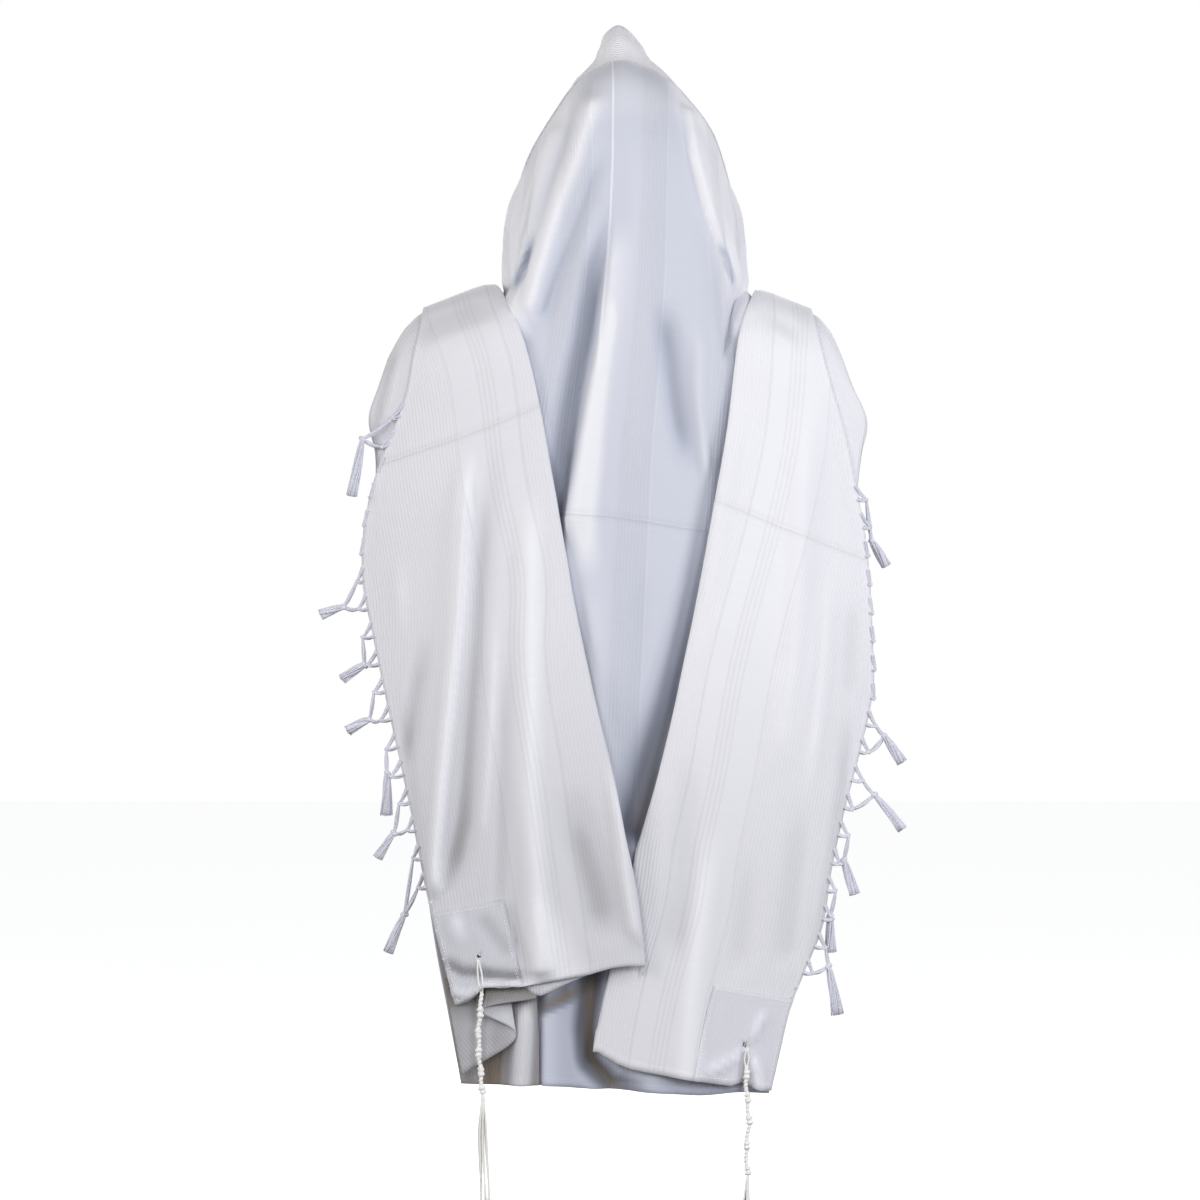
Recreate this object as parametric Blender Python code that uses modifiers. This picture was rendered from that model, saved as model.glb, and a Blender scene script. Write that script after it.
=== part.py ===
"""Tallit prayer shawl worn over the head: one wool rectangle as a hood, its two ends thrown back.

Frame: the wearer looks along +Y, so the back and the thrown ends face -Y. +X is to the right seen
from behind, +Z is up. The origin is where the cloth rests on the crown of the head. Metres.
"""

import math

import bpy
import numpy as np

COLLECTION = "tallit_prayer_shawl"

# Cloth and layers
WALL = 0.0015  # thickness of every cloth wall
SEAM_GAP = 0.0003  # between pieces that are joined or lie on each other
PITCH = 0.0065  # from one layer of the folded ends to the next

# General figure under the cloth
SHOULDER_Y = -0.02  # front-to-back middle of the shoulders
ARCH_HEIGHT = 0.09  # height of the rounding over a shoulder
GIRTH_HALF_WIDTH = 0.36  # half width of the ellipse that the back and the chest are cut from
BACK_DEPTH = ((-0.20, 0.126), (-0.45, 0.134), (-0.70, 0.140), (-1.25, 0.146))  # height, depth
CHEST_DEPTH = ((-0.25, 0.112), (-0.45, 0.130), (-0.75, 0.134))  # height, depth
SHOULDER_LINE = (  # distance from the middle, height of the innermost cloth
    (0.125, -0.272),
    (0.150, -0.279),
    (0.235, -0.312),
    (0.250, -0.325),
    (0.262, -0.345),
)

# Hood: the arch over the crown from the crest to each foot, where it meets the shoulders
# share of the arch, left x, left z, right x, right z
CREST_ARCH = (
    (0.00, 0.000, 0.000, 0.000, 0.000),
    (0.10, -0.029, -0.012, 0.032, -0.007),
    (0.20, -0.053, -0.031, 0.063, -0.023),
    (0.30, -0.071, -0.057, 0.086, -0.047),
    (0.45, -0.094, -0.097, 0.114, -0.086),
    (0.60, -0.113, -0.140, 0.130, -0.132),
    (0.75, -0.126, -0.184, 0.143, -0.178),
    (0.88, -0.130, -0.224, 0.149, -0.220),
    (1.00, -0.132, -0.264, 0.151, -0.262),
)
# The free edge that frames the face, with its peak
RIM_ARCH = (
    (0.00, 0.000, 0.047, 0.000, 0.047),
    (0.10, -0.016, 0.029, 0.025, 0.031),
    (0.20, -0.030, -0.001, 0.045, 0.002),
    (0.30, -0.046, -0.036, 0.061, -0.032),
    (0.45, -0.068, -0.085, 0.082, -0.080),
    (0.60, -0.084, -0.132, 0.096, -0.128),
    (0.75, -0.093, -0.176, 0.104, -0.172),
    (0.88, -0.094, -0.216, 0.104, -0.212),
    (1.00, -0.088, -0.262, 0.098, -0.258),
)
# Rows of the hood from the rim back to the nape. rim share: how much of the rim arch is in the
# row, the rest is the crest arch; crown and foot: the top and the two ends; width: scale of x;
# over: distance behind the top of the shoulder at which the row crosses it
HOOD_ROWS = (
    # name, rim share, crown y, crown z, foot y, foot z, width, over
    ("rim", 1.0, 0.112, 0.047, 0.078, -0.296, 1.00, -0.200),
    ("band_front", 0.8, 0.092, 0.052, 0.070, -0.286, 1.00, -0.170),
    ("band_middle", 0.45, 0.062, 0.036, 0.050, -0.274, 1.00, -0.135),
    ("crest", 0.0, 0.022, 0.000, 0.016, -0.266, 1.00, -0.100),
    ("crown", 0.0, -0.028, -0.006, -0.012, -0.268, 0.99, -0.075),
    ("crown_back", 0.0, -0.075, -0.032, -0.038, -0.274, 0.97, -0.050),
    ("head_back", 0.0, -0.107, -0.082, -0.060, -0.283, 0.94, -0.022),
    ("head_low", 0.0, -0.122, -0.145, -0.078, -0.295, 0.90, 0.006),
    ("nape_high", 0.0, -0.127, -0.215, -0.093, -0.312, 0.87, 0.035),
    ("nape", 0.0, -0.130, -0.285, -0.106, -0.338, 0.85, 0.070),
)
# Back panel, a row for each line across the cloth
BACK_ROWS = (
    # left z, right z, left x, crease x, right x
    (-0.365, -0.368, -0.252, -0.014, 0.248),
    (-0.428, -0.438, -0.274, -0.034, 0.268),
    (-0.494, -0.510, -0.280, -0.051, 0.280),
    (-0.570, -0.592, -0.282, -0.064, 0.288),
    (-0.648, -0.672, -0.268, -0.074, 0.284),
    (-0.728, -0.754, -0.252, -0.082, 0.276),
    (-0.808, -0.836, -0.240, -0.088, 0.258),
    (-0.888, -0.916, -0.228, -0.092, 0.240),
    (-0.968, -0.996, -0.220, -0.094, 0.222),
    (-1.042, -1.070, -0.209, -0.094, 0.206),
    (-1.114, -1.140, -0.195, -0.093, 0.190),
    (-1.186, -1.210, -0.180, -0.092, 0.176),
)
BACK_SEAM_GAP = 3.2 * SEAM_GAP  # the back panel starts this far below the hood's last row
SIDE_SHARES = (0.10, 0.20, 0.30, 0.45, 0.60, 0.75, 0.88, 1.00)  # hood columns of one side
SHOULDER_SHARES = (0.14, 0.56, 1.00)  # shoulder columns, from the foot to the outer edge
NECK_CROSSING = 0.150  # where the innermost cloth crosses the shoulder line beside the hood
SHOULDER_EDGE = 0.246  # where the innermost cloth crosses the shoulder line at its outer edge

# Largest folds of the back: where each starts, its middle and its end, half width and height
BACK_FOLDS = (
    # name, top z, top x, middle z, middle x, bottom z, bottom x, half width, outward
    ("crease_ridge", -0.24, -0.002, -0.45, -0.036, -0.66, -0.074, 0.024, 0.012),
    ("left_trough", -0.26, -0.036, -0.45, -0.060, -1.30, -0.072, 0.030, -0.026),
    ("right_trough", -0.30, 0.074, -0.45, 0.078, -0.90, 0.040, 0.028, -0.014),
    ("right_ridge", -0.31, 0.092, -0.45, 0.108, -0.60, 0.090, 0.024, 0.008),
    ("hem_trough", -0.80, 0.110, -0.95, 0.085, -1.30, 0.070, 0.035, -0.010),
)
FOLD_FADE = 0.08  # length over which a fold begins and ends

# Folded ends over the shoulders, front hem to back hem: distance behind the top of the
# shoulder (front is negative), x of the inner fold and of the outer, fringed edge
FLAP_LEFT_ROWS = (
    (-0.435, -0.098, -0.238),
    (-0.388, -0.101, -0.245),
    (-0.340, -0.104, -0.250),
    (-0.290, -0.109, -0.252),
    (-0.245, -0.115, -0.252),
    (-0.200, -0.123, -0.250),
    (-0.160, -0.131, -0.246),
    (-0.120, -0.139, -0.240),
    (-0.080, -0.145, -0.235),
    (-0.040, -0.148, -0.230),
    (0.000, -0.147, -0.227),
    (0.040, -0.140, -0.227),
    (0.080, -0.130, -0.230),
    (0.120, -0.118, -0.236),
    (0.160, -0.107, -0.243),
    (0.200, -0.097, -0.257),
    (0.260, -0.084, -0.281),
    (0.320, -0.073, -0.294),
    (0.380, -0.063, -0.295),
    (0.440, -0.052, -0.283),
    (0.500, -0.038, -0.270),
    (0.570, -0.021, -0.254),
    (0.640, -0.004, -0.238),
    (0.705, 0.009, -0.225),
    (0.765, 0.021, -0.212),
    (0.815, 0.028, -0.199),
    (0.865, 0.032, -0.185),
)
FLAP_RIGHT_ROWS = (
    (-0.337, 0.104, 0.240),
    (-0.290, 0.107, 0.247),
    (-0.242, 0.112, 0.252),
    (-0.200, 0.126, 0.250),
    (-0.160, 0.138, 0.246),
    (-0.120, 0.148, 0.241),
    (-0.080, 0.158, 0.236),
    (-0.040, 0.164, 0.232),
    (0.000, 0.165, 0.230),
    (0.040, 0.161, 0.230),
    (0.080, 0.152, 0.234),
    (0.120, 0.143, 0.241),
    (0.160, 0.138, 0.252),
    (0.200, 0.134, 0.264),
    (0.260, 0.127, 0.277),
    (0.320, 0.118, 0.289),
    (0.380, 0.109, 0.295),
    (0.440, 0.099, 0.298),
    (0.500, 0.087, 0.299),
    (0.570, 0.073, 0.284),
    (0.640, 0.057, 0.265),
    (0.710, 0.038, 0.249),
    (0.780, 0.018, 0.237),
    (0.830, 0.003, 0.216),
    (0.867, -0.007, 0.201),
    (0.915, -0.018, 0.189),
    (0.963, -0.026, 0.178),
)
FLAP_COLUMNS = (0.0, 0.08, 0.24, 0.43, 0.62, 0.81, 1.0)  # shares from inner fold to fringe
PATCH_FIRST_COLUMN = 4  # the corner patch covers the last columns
PATCH_ROWS = 2  # and this many rows from the hem

# Stretches folded back under the thrown ends: outer edge inside or outside the fringed edge
UNDER_OUTER = ((-0.45, -0.004), (-0.05, 0.008), (0.0, 0.014), (0.16, 0.040), (0.22, 0.012),
               (0.30, -0.008), (0.75, -0.012), (0.87, -0.022), (1.0, -0.022))
UNDER_INNER = ((-0.45, -0.020), (-0.24, -0.012), (-0.17, 0.0), (-0.05, 0.003), (1.0, 0.002))
UNDER_COLUMNS = (0.0, 0.12, 0.38, 0.64, 0.88, 1.0)
LEFT_HEM_DROP = 0.007  # the left under stretch shows this far below its flap
RIGHT_HEM_DROP = -0.030
LEFT_OVER_RIGHT = ((-0.5, 0.0), (0.42, 0.0), (0.62, 0.015), (1.0, 0.017))  # stand-off
FOLD_FLOOR = 0.0022  # a flap's inner fold lies this far off the stretch under it
EDGE_FLOOR = {-1: 0.0026, 1: 0.0034}  # and its outer fold this far off the back: left, right

# Pleat between the back and the left under stretch: z, outer x, inner x
PLEAT_ROWS = (
    (-0.740, -0.250, -0.170),
    (-0.830, -0.236, -0.150),
    (-0.920, -0.224, -0.128),
    (-1.000, -0.214, -0.108),
    (-1.070, -0.202, -0.095),
    (-1.130, -0.190, -0.090),
    (-1.188, -0.179, -0.089),
)
PLEAT_COLUMNS = (0.0, 0.14, 0.4, 0.7, 0.9, 1.0)

# Sewn and tied on
BAND_COLUMN_COUNT = 7  # hood columns that the neckband covers on each side of the crease
BAND_ROWS = 4  # hood rows that it covers
FRINGE_REACH = 0.034
FRINGE_WALL = 0.004
FRINGE_DROP = ((-0.5, 0.5), (-0.2, 0.3), (-0.1, 0.0), (0.16, 0.0), (0.30, 0.5), (1.0, 0.6))
COLUMN_DIAMETER = 0.0065  # wound and knotted part of a tzitzit
STRANDS_DIAMETER = 0.012  # the eight free strands together
CORD_POINTS = 11  # along each tube
# The wound cord of each tzitzit, from its eyelet over the hem and down: x, y, z
CORD_ROUTES = {
    "back_left": (
        (-0.1585, -0.1647, -1.053),
        (-0.1560, -0.1654, -1.074),
        (-0.1545, -0.1660, -1.094),
        (-0.1565, -0.1664, -1.114),
        (-0.1580, -0.1664, -1.140),
        (-0.1570, -0.1664, -1.166),
        (-0.1530, -0.1664, -1.206),
    ),
    "back_right": (
        (0.1498, -0.1514, -1.157),
        (0.1490, -0.1516, -1.177),
        (0.1488, -0.1519, -1.198),
        (0.1505, -0.1524, -1.220),
        (0.1520, -0.1524, -1.243),
        (0.1488, -0.1524, -1.271),
        (0.1505, -0.1524, -1.301),
    ),
    "front_left": (
        (-0.2150, 0.1256, -0.596),
        (-0.2140, 0.1261, -0.616),
        (-0.2130, 0.1265, -0.638),
        (-0.2125, 0.1270, -0.662),
        (-0.2115, 0.1270, -0.690),
        (-0.2128, 0.1270, -0.718),
        (-0.2120, 0.1270, -0.746),
    ),
    "front_right": (
        (0.2180, 0.1238, -0.501),
        (0.2168, 0.1243, -0.521),
        (0.2158, 0.1248, -0.543),
        (0.2150, 0.1253, -0.567),
        (0.2162, 0.1253, -0.594),
        (0.2148, 0.1253, -0.622),
        (0.2155, 0.1253, -0.650),
    ),
}
# The free strands of each, from the last knot down
STRAND_ROUTES = {
    "back_left": (
        (-0.1530, -0.1664, -1.2068),
        (-0.1525, -0.1664, -1.260),
        (-0.1500, -0.1664, -1.320),
        (-0.1510, -0.1664, -1.380),
        (-0.1500, -0.1664, -1.442),
    ),
    "back_right": (
        (0.1505, -0.1524, -1.3018),
        (0.1480, -0.1524, -1.350),
        (0.1455, -0.1524, -1.410),
        (0.1470, -0.1524, -1.470),
        (0.1460, -0.1524, -1.537),
    ),
    "front_left": (
        (-0.2120, 0.1270, -0.7468),
        (-0.2115, 0.1270, -0.800),
        (-0.2130, 0.1270, -0.860),
        (-0.2120, 0.1270, -0.920),
        (-0.2130, 0.1270, -0.982),
    ),
    "front_right": (
        (0.2155, 0.1253, -0.6508),
        (0.2150, 0.1253, -0.705),
        (0.2165, 0.1253, -0.765),
        (0.2158, 0.1253, -0.825),
        (0.2165, 0.1253, -0.886),
    ),
}

WOOL = (0.86, 0.86, 0.88)
SATIN = (0.84, 0.83, 0.84)
TWINE = (0.80, 0.79, 0.77)


def clear_scene():
    for item in list(bpy.data.objects):
        bpy.data.objects.remove(item, do_unlink=True)


def fabric(name, colour, roughness):
    material = bpy.data.materials.new(name)
    material.use_nodes = True
    shader = material.node_tree.nodes["Principled BSDF"]
    shader.inputs["Base Color"].default_value = (*colour, 1.0)
    shader.inputs["Roughness"].default_value = roughness
    shader.inputs["Metallic"].default_value = 0.0
    return material


def column(table, index):
    return np.array([row[index] for row in table], dtype=float)


def along(table, at, value_index=1):
    """Reads a two-or-more column table at the places 'at' of its first column, linearly."""
    places = column(table, 0)
    values = column(table, value_index)
    order = np.argsort(places)
    return np.interp(at, places[order], values[order])


def bump(distance, half_width):
    """A soft rise: 1 on its axis, 0 from half_width on, by a raised cosine."""
    share = np.clip(np.abs(distance) / half_width, 0.0, 1.0)
    return 0.5 + 0.5 * np.cos(np.pi * share)


def smooth_step(value):
    share = np.clip(value, 0.0, 1.0)
    return share * share * (3.0 - 2.0 * share)


def girth(x):
    """How far round the ellipse of the body x lies: 1 in the middle, falling to the sides."""
    return np.sqrt(np.clip(1.0 - (x / GIRTH_HALF_WIDTH) ** 2, 0.02, 1.0))


def fold_height(x, z):
    """Outward height of the largest folds of the back at x, z."""
    height = np.zeros(np.broadcast(x, z).shape)
    for _name, top_z, top_x, mid_z, mid_x, low_z, low_x, half_width, outward in BACK_FOLDS:
        axis = np.interp(-z, (-top_z, -mid_z, -low_z), (top_x, mid_x, low_x))
        fade = smooth_step((top_z - z) / FOLD_FADE) * smooth_step((z - low_z) / FOLD_FADE)
        height = height + outward * fade * bump(x - axis, half_width)
    return height


def back_y(x, z):
    """The back surface of the innermost cloth, without its folds and below the shoulders."""
    return -along(BACK_DEPTH, z) * girth(x)


def rounded_back_y(x, z):
    """The same, drawn in to the shoulder line along the quarter ellipse over each shoulder."""
    gone = np.clip((along(SHOULDER_LINE, np.abs(x)) - z) / ARCH_HEIGHT, 0.0, 1.0)
    return SHOULDER_Y + (back_y(x, z) - SHOULDER_Y) * np.sqrt(1.0 - (1.0 - gone) ** 2)


def quarter_length(a, b):
    """Length of a quarter of the ellipse with half axes a and b, by Ramanujan's formula."""
    return math.pi / 4 * (3 * (a + b) - np.sqrt((3 * a + b) * (a + 3 * b)))


def over_shoulder(x_shoulder, x, distance, lift, stand_off=0.0):
    """A point of cloth that crosses the shoulder line at x_shoulder and has gone 'distance'
    behind its top (in front of it where negative): a quarter ellipse over the shoulder, then
    straight down at the depth of the back or the chest. lift moves it out, layer on layer, and
    stand_off moves only what hangs."""
    top = along(SHOULDER_LINE, np.abs(x_shoulder)) + lift
    behind = distance >= 0
    gone = np.abs(distance)

    def depth_at(place, z):
        chest = along(CHEST_DEPTH, z) * girth(place) - SHOULDER_Y
        return np.where(behind, -back_y(place, z) + SHOULDER_Y, chest) + lift

    arch = quarter_length(depth_at(x_shoulder, top - ARCH_HEIGHT), ARCH_HEIGHT)
    turn = np.clip(gone / arch, 0.0, 1.0) * math.pi / 2
    z = top - ARCH_HEIGHT * (1.0 - np.cos(turn)) - np.maximum(gone - arch, 0.0)
    reach = depth_at(x, z) + stand_off
    y = SHOULDER_Y + np.where(behind, -1.0, 1.0) * reach * np.sin(turn)
    return np.stack([x, y, z], axis=-1)


def arch_side(row, side):
    """The hood part of a row on one side, from beside the crown to the foot: the crest arch
    blended with the rim arch, set in the tilted plane through the row's crown and feet."""
    _name, rim_share, crown_y, crown_z, foot_y, foot_z, width, _over = row
    x_index, z_index = (1, 2) if side < 0 else (3, 4)
    shares = (0.0, *SIDE_SHARES)
    crest_x = np.interp(shares, column(CREST_ARCH, 0), column(CREST_ARCH, x_index))
    crest_z = np.interp(shares, column(CREST_ARCH, 0), column(CREST_ARCH, z_index))
    rim_x = np.interp(shares, column(RIM_ARCH, 0), column(RIM_ARCH, x_index))
    rim_z = np.interp(shares, column(RIM_ARCH, 0), column(RIM_ARCH, z_index))
    x = crest_x + (rim_x - crest_x) * rim_share
    z = crest_z + (rim_z - crest_z) * rim_share
    rise = (z - z[-1]) / (z[0] - z[-1])
    y = foot_y + (crown_y - foot_y) * rise
    return np.stack([x * width, y, foot_z + (crown_z - foot_z) * rise], axis=-1)


def hood_row(row):
    """One row of the hood, left outer edge to right outer edge, over the crown."""
    over = row[-1]
    sides = []
    for side in (-1, 1):
        arch = arch_side(row, side)
        foot_x = abs(arch[-1, 0])
        crossing = NECK_CROSSING + (SHOULDER_EDGE - NECK_CROSSING) * np.array(SHOULDER_SHARES)
        x = side * (foot_x + (SHOULDER_EDGE - foot_x) * np.array(SHOULDER_SHARES))
        shoulder = over_shoulder(crossing, x, np.full(x.shape, over), 0.0)
        sides.append(np.concatenate([arch, shoulder]))
    left, right = sides
    return np.concatenate([left[:0:-1], right])


def hood_and_back_points():
    """Rows of the middle stretch from the rim over the crown and down the back to the hem."""
    rows = [hood_row(row) for row in HOOD_ROWS]
    nape = rows[-1]
    middle = len(nape) // 2
    left_span = nape[middle, 0] - nape[0, 0]
    right_span = nape[-1, 0] - nape[middle, 0]
    from_crease = nape[:, 0] - nape[middle, 0]
    share = from_crease / np.where(from_crease < 0, left_span, right_span)
    for left_z, right_z, left_x, crease_x, right_x in BACK_ROWS:
        x = crease_x + share * np.where(share < 0, crease_x - left_x, right_x - crease_x)
        z = left_z + (right_z - left_z) * (x - left_x) / (right_x - left_x)
        rows.append(np.stack([x, rounded_back_y(x, z), z], axis=-1))
    points = np.stack(rows)
    x, z = points[..., 0], points[..., 2]
    settled = smooth_step((-0.20 - z) / 0.10)
    points[..., 1] -= fold_height(x, z) * settled
    return points


def normals(points):
    """Unit normals of a grid of points, pointing out of the back: rows run from the rim to the
    hem and columns from left to right."""
    down = np.gradient(points, axis=0)
    right = np.gradient(points, axis=1)
    cross = np.cross(down, right)
    return cross / np.maximum(np.linalg.norm(cross, axis=-1, keepdims=True), 1e-9)


def moved_out(points, offset):
    return points + normals(points) * offset


def pinch(shares, at_start, at_end, width):
    """1 in the middle of a strip, falling to 0 at the edges that are folded onto a layer."""
    value = np.ones_like(shares)
    if at_start:
        value = value * smooth_step(shares / width)
    if at_end:
        value = value * smooth_step((1.0 - shares) / width)
    return value


def strip(rows, columns, side, layer, inner_shift=None, outer_shift=None, hem_drop=0.0,
          pinch_inner=False, pinch_outer=False, hang_out=None):
    """A stretch thrown over a shoulder, as rows from the front hem to the back hem."""
    distance = column(rows, 0)
    if hem_drop:
        distance = distance.copy()
        distance[-1] += hem_drop
        distance[0] -= hem_drop
    inner = column(rows, 1)
    outer = column(rows, 2)
    if inner_shift:
        inner = inner + side * along(inner_shift, distance)
    if outer_shift:
        outer = outer + side * along(outer_shift, distance)
    shares = np.array(columns)
    top = int(np.argmin(np.abs(distance)))
    crossing = inner[top] + (outer[top] - inner[top]) * shares
    x = inner[:, None] + (outer - inner)[:, None] * shares[None, :]
    held = pinch(shares, pinch_inner, pinch_outer, 0.14)
    floor_lift = (layer - 1) * PITCH + (FOLD_FLOOR if pinch_inner else EDGE_FLOOR[side])
    lift = floor_lift + (layer * PITCH - floor_lift) * held
    stand_off = along(hang_out, distance) if hang_out else np.zeros(distance.shape)
    grid = np.broadcast_arrays(
        crossing[None, :], x, distance[:, None], lift[None, :], stand_off[:, None]
    )
    return over_shoulder(*[np.array(part) for part in grid])


def loft(name, points, material, wall=WALL):
    """An open sheet through a grid of points, given its wall by Solidify."""
    rows, columns = points.shape[:2]
    index = np.arange(rows * columns).reshape(rows, columns)
    faces = np.stack(
        [index[:-1, :-1], index[1:, :-1], index[1:, 1:], index[:-1, 1:]], axis=-1
    ).reshape(-1, 4)
    mesh = bpy.data.meshes.new(name)
    mesh.from_pydata(points.reshape(-1, 3).tolist(), [], faces.tolist())
    mesh.shade_smooth()
    mesh.materials.append(material)
    item = bpy.data.objects.new(name, mesh)
    shell = item.modifiers.new("wall", "SOLIDIFY")
    shell.thickness = wall
    shell.offset = 0.0
    bpy.data.collections[COLLECTION].objects.link(item)
    return item


def flap(name, rows, side, layer, material, hang_out=None):
    points = strip(rows, FLAP_COLUMNS, side, layer, pinch_inner=True, hang_out=hang_out)
    loft(name, points, material)
    return points


def outward(points, side):
    """Normals of a strip pointing away from the wearer, whichever way its columns run."""
    return normals(points) * side


def pleat_points():
    """The pleat on the back, folded at its outer edge and open at its inner edge."""
    shares = np.array(PLEAT_COLUMNS)
    z = np.repeat(column(PLEAT_ROWS, 0)[:, None], len(shares), axis=1)
    outer = column(PLEAT_ROWS, 1)[:, None]
    inner = column(PLEAT_ROWS, 2)[:, None]
    x = outer + (inner - outer) * shares
    lift = FOLD_FLOOR + (PITCH - FOLD_FLOOR) * smooth_step(shares / 0.3)
    return np.stack([x, back_y(x, z) - lift, z], axis=-1)


def corner_patch(name, points, side, at_back, material):
    """The square of the strip's own points at one corner, moved out onto its outer face."""
    first, last = (-PATCH_ROWS - 1, None) if at_back else (0, PATCH_ROWS + 1)
    lifted = points + outward(points, side) * (WALL + SEAM_GAP)
    loft(name, lifted[first:last, PATCH_FIRST_COLUMN:], material)


def fringe(name, points, rows, material):
    """The reach of the netted fringe: a narrow strip that hangs out and down from the edge."""
    edge = points[:, -1]
    run = np.gradient(edge, axis=0)
    run /= np.linalg.norm(run, axis=1, keepdims=True)
    hang = edge - points[:, -2]
    hang /= np.linalg.norm(hang, axis=1, keepdims=True)
    hang[:, 2] -= along(FRINGE_DROP, column(rows, 0))
    hang -= run * (run * hang).sum(axis=1, keepdims=True)
    hang /= np.linalg.norm(hang, axis=1, keepdims=True)
    start = 2 * SEAM_GAP
    near = edge + hang * start
    far = edge + hang * (start + FRINGE_REACH)
    loft(name, np.stack([near, far], axis=1), material, FRINGE_WALL)


def tube(name, route, diameter, material):
    curve = bpy.data.curves.new(name, "CURVE")
    curve.dimensions = "3D"
    curve.bevel_depth = diameter / 2
    curve.bevel_resolution = 2
    curve.use_fill_caps = True
    spline = curve.splines.new("POLY")
    spline.points.add(len(route) - 1)
    for point, place in zip(spline.points, route, strict=True):
        point.co = (*place, 1.0)
    curve.materials.append(material)
    item = bpy.data.objects.new(name, curve)
    bpy.data.collections[COLLECTION].objects.link(item)


def smooth_route(knots, count):
    """Points evenly spaced on the smooth curve through the knots, each span a cubic whose
    slope at a knot is half the way between the knots beside it."""
    knots = np.array(knots, dtype=float)
    ahead = 2 * knots[-1] - knots[-2]
    padded = np.concatenate([[2 * knots[0] - knots[1]], knots, [ahead]])
    a, b, c, d = (padded[i:len(padded) - 3 + i, None, :] for i in range(4))
    t = np.linspace(0.0, 1.0, 12, endpoint=False)[None, :, None]
    spans = b + 0.5 * t * (c - a + t * (2 * a - 5 * b + 4 * c - d + t * (3 * b - a - 3 * c + d)))
    fine = np.concatenate([spans.reshape(-1, 3), knots[-1:]])
    length = np.concatenate([[0.0], np.cumsum(np.linalg.norm(np.diff(fine, axis=0), axis=1))])
    even = np.linspace(0.0, length[-1], count)
    return np.stack([np.interp(even, length, fine[:, axis]) for axis in range(3)], axis=1)


def main():
    clear_scene()
    collection = bpy.data.collections.new(COLLECTION)
    bpy.context.scene.collection.children.link(collection)
    wool = fabric("white_wool", WOOL, 0.85)
    satin = fabric("white_satin", SATIN, 0.55)
    twine = fabric("white_twine", TWINE, 0.9)

    middle_stretch = hood_and_back_points()
    nape = len(HOOD_ROWS) - 1
    below_nape = middle_stretch[nape:].copy()
    down = below_nape[1] - below_nape[0]
    below_nape[0] += down / np.linalg.norm(down, axis=1, keepdims=True) * BACK_SEAM_GAP
    loft("hood", middle_stretch[:nape + 1], wool)
    loft("back_panel", below_nape, wool)
    middle = middle_stretch.shape[1] // 2
    band = moved_out(middle_stretch, WALL + SEAM_GAP)
    band_columns = slice(middle - BAND_COLUMN_COUNT, middle + BAND_COLUMN_COUNT + 1)
    loft("atarah", band[:BAND_ROWS, band_columns], satin)

    left = flap("flap_left", FLAP_LEFT_ROWS, -1, 2, wool, LEFT_OVER_RIGHT)
    right = flap("flap_right", FLAP_RIGHT_ROWS, 1, 2, wool)
    loft("under_left", strip(FLAP_LEFT_ROWS, UNDER_COLUMNS, -1, 1, UNDER_INNER, UNDER_OUTER,
                             LEFT_HEM_DROP, pinch_outer=True, hang_out=LEFT_OVER_RIGHT), wool)
    loft("under_right", strip(FLAP_RIGHT_ROWS, UNDER_COLUMNS, 1, 1, UNDER_INNER, UNDER_OUTER,
                              RIGHT_HEM_DROP, pinch_outer=True), wool)
    loft("back_pleat_left", pleat_points(), wool)
    sides = (("left", left, -1, FLAP_LEFT_ROWS), ("right", right, 1, FLAP_RIGHT_ROWS))
    for side_name, points, side, rows in sides:
        corner_patch(f"patch_back_{side_name}", points, side, True, satin)
        corner_patch(f"patch_front_{side_name}", points, side, False, satin)
        fringe(f"fringe_{side_name}", points, rows, wool)
    for corner, knots in CORD_ROUTES.items():
        tube(f"tzitzit_{corner}_cord", smooth_route(knots, CORD_POINTS), COLUMN_DIAMETER, twine)
    for corner, knots in STRAND_ROUTES.items():
        route = smooth_route(knots, CORD_POINTS)
        tube(f"tzitzit_{corner}_strands", route, STRANDS_DIAMETER, twine)


main()
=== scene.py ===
"""Looks of a tallit prayer shawl worn over the head: white ribbed wool, neckband, netted fringes
and corner tassels. Frame as in the part: the wearer looks along +Y, +X is to the right seen from
behind, +Z is up and the origin is on the crown of the head. Metres.
"""

import math

import bpy
import numpy as np
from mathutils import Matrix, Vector


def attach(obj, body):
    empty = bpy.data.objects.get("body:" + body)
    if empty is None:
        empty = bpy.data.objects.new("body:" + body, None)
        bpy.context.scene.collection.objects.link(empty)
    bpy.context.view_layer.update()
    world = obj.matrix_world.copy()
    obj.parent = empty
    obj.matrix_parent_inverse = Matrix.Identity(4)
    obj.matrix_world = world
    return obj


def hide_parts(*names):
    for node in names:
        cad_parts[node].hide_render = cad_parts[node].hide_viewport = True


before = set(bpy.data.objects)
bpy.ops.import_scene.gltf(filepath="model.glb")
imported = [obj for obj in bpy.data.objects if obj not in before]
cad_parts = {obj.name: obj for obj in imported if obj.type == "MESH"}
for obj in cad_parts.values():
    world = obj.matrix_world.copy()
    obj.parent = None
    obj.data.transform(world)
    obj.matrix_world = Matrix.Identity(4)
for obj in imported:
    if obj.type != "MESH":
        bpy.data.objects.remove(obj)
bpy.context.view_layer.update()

# Tables of whole numbers are divided by one of these, to metres or to shares of 1
MILLIMETRES = 1000
TENTHS = 10000
SIDES = ((-1, "left"), (1, "right"))  # seen from behind

# ---------------- the form, as in the part

SEAM_GAP = 0.0003
PITCH = 0.0065  # from one layer of the folded ends to the next
SHOULDER_Y = -0.02  # front-to-back middle of the shoulders
ARCH_HEIGHT = 0.09  # height of the rounding over a shoulder
GIRTH_HALF_WIDTH = 0.36  # half width of the ellipse that the back and the chest are cut from
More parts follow.
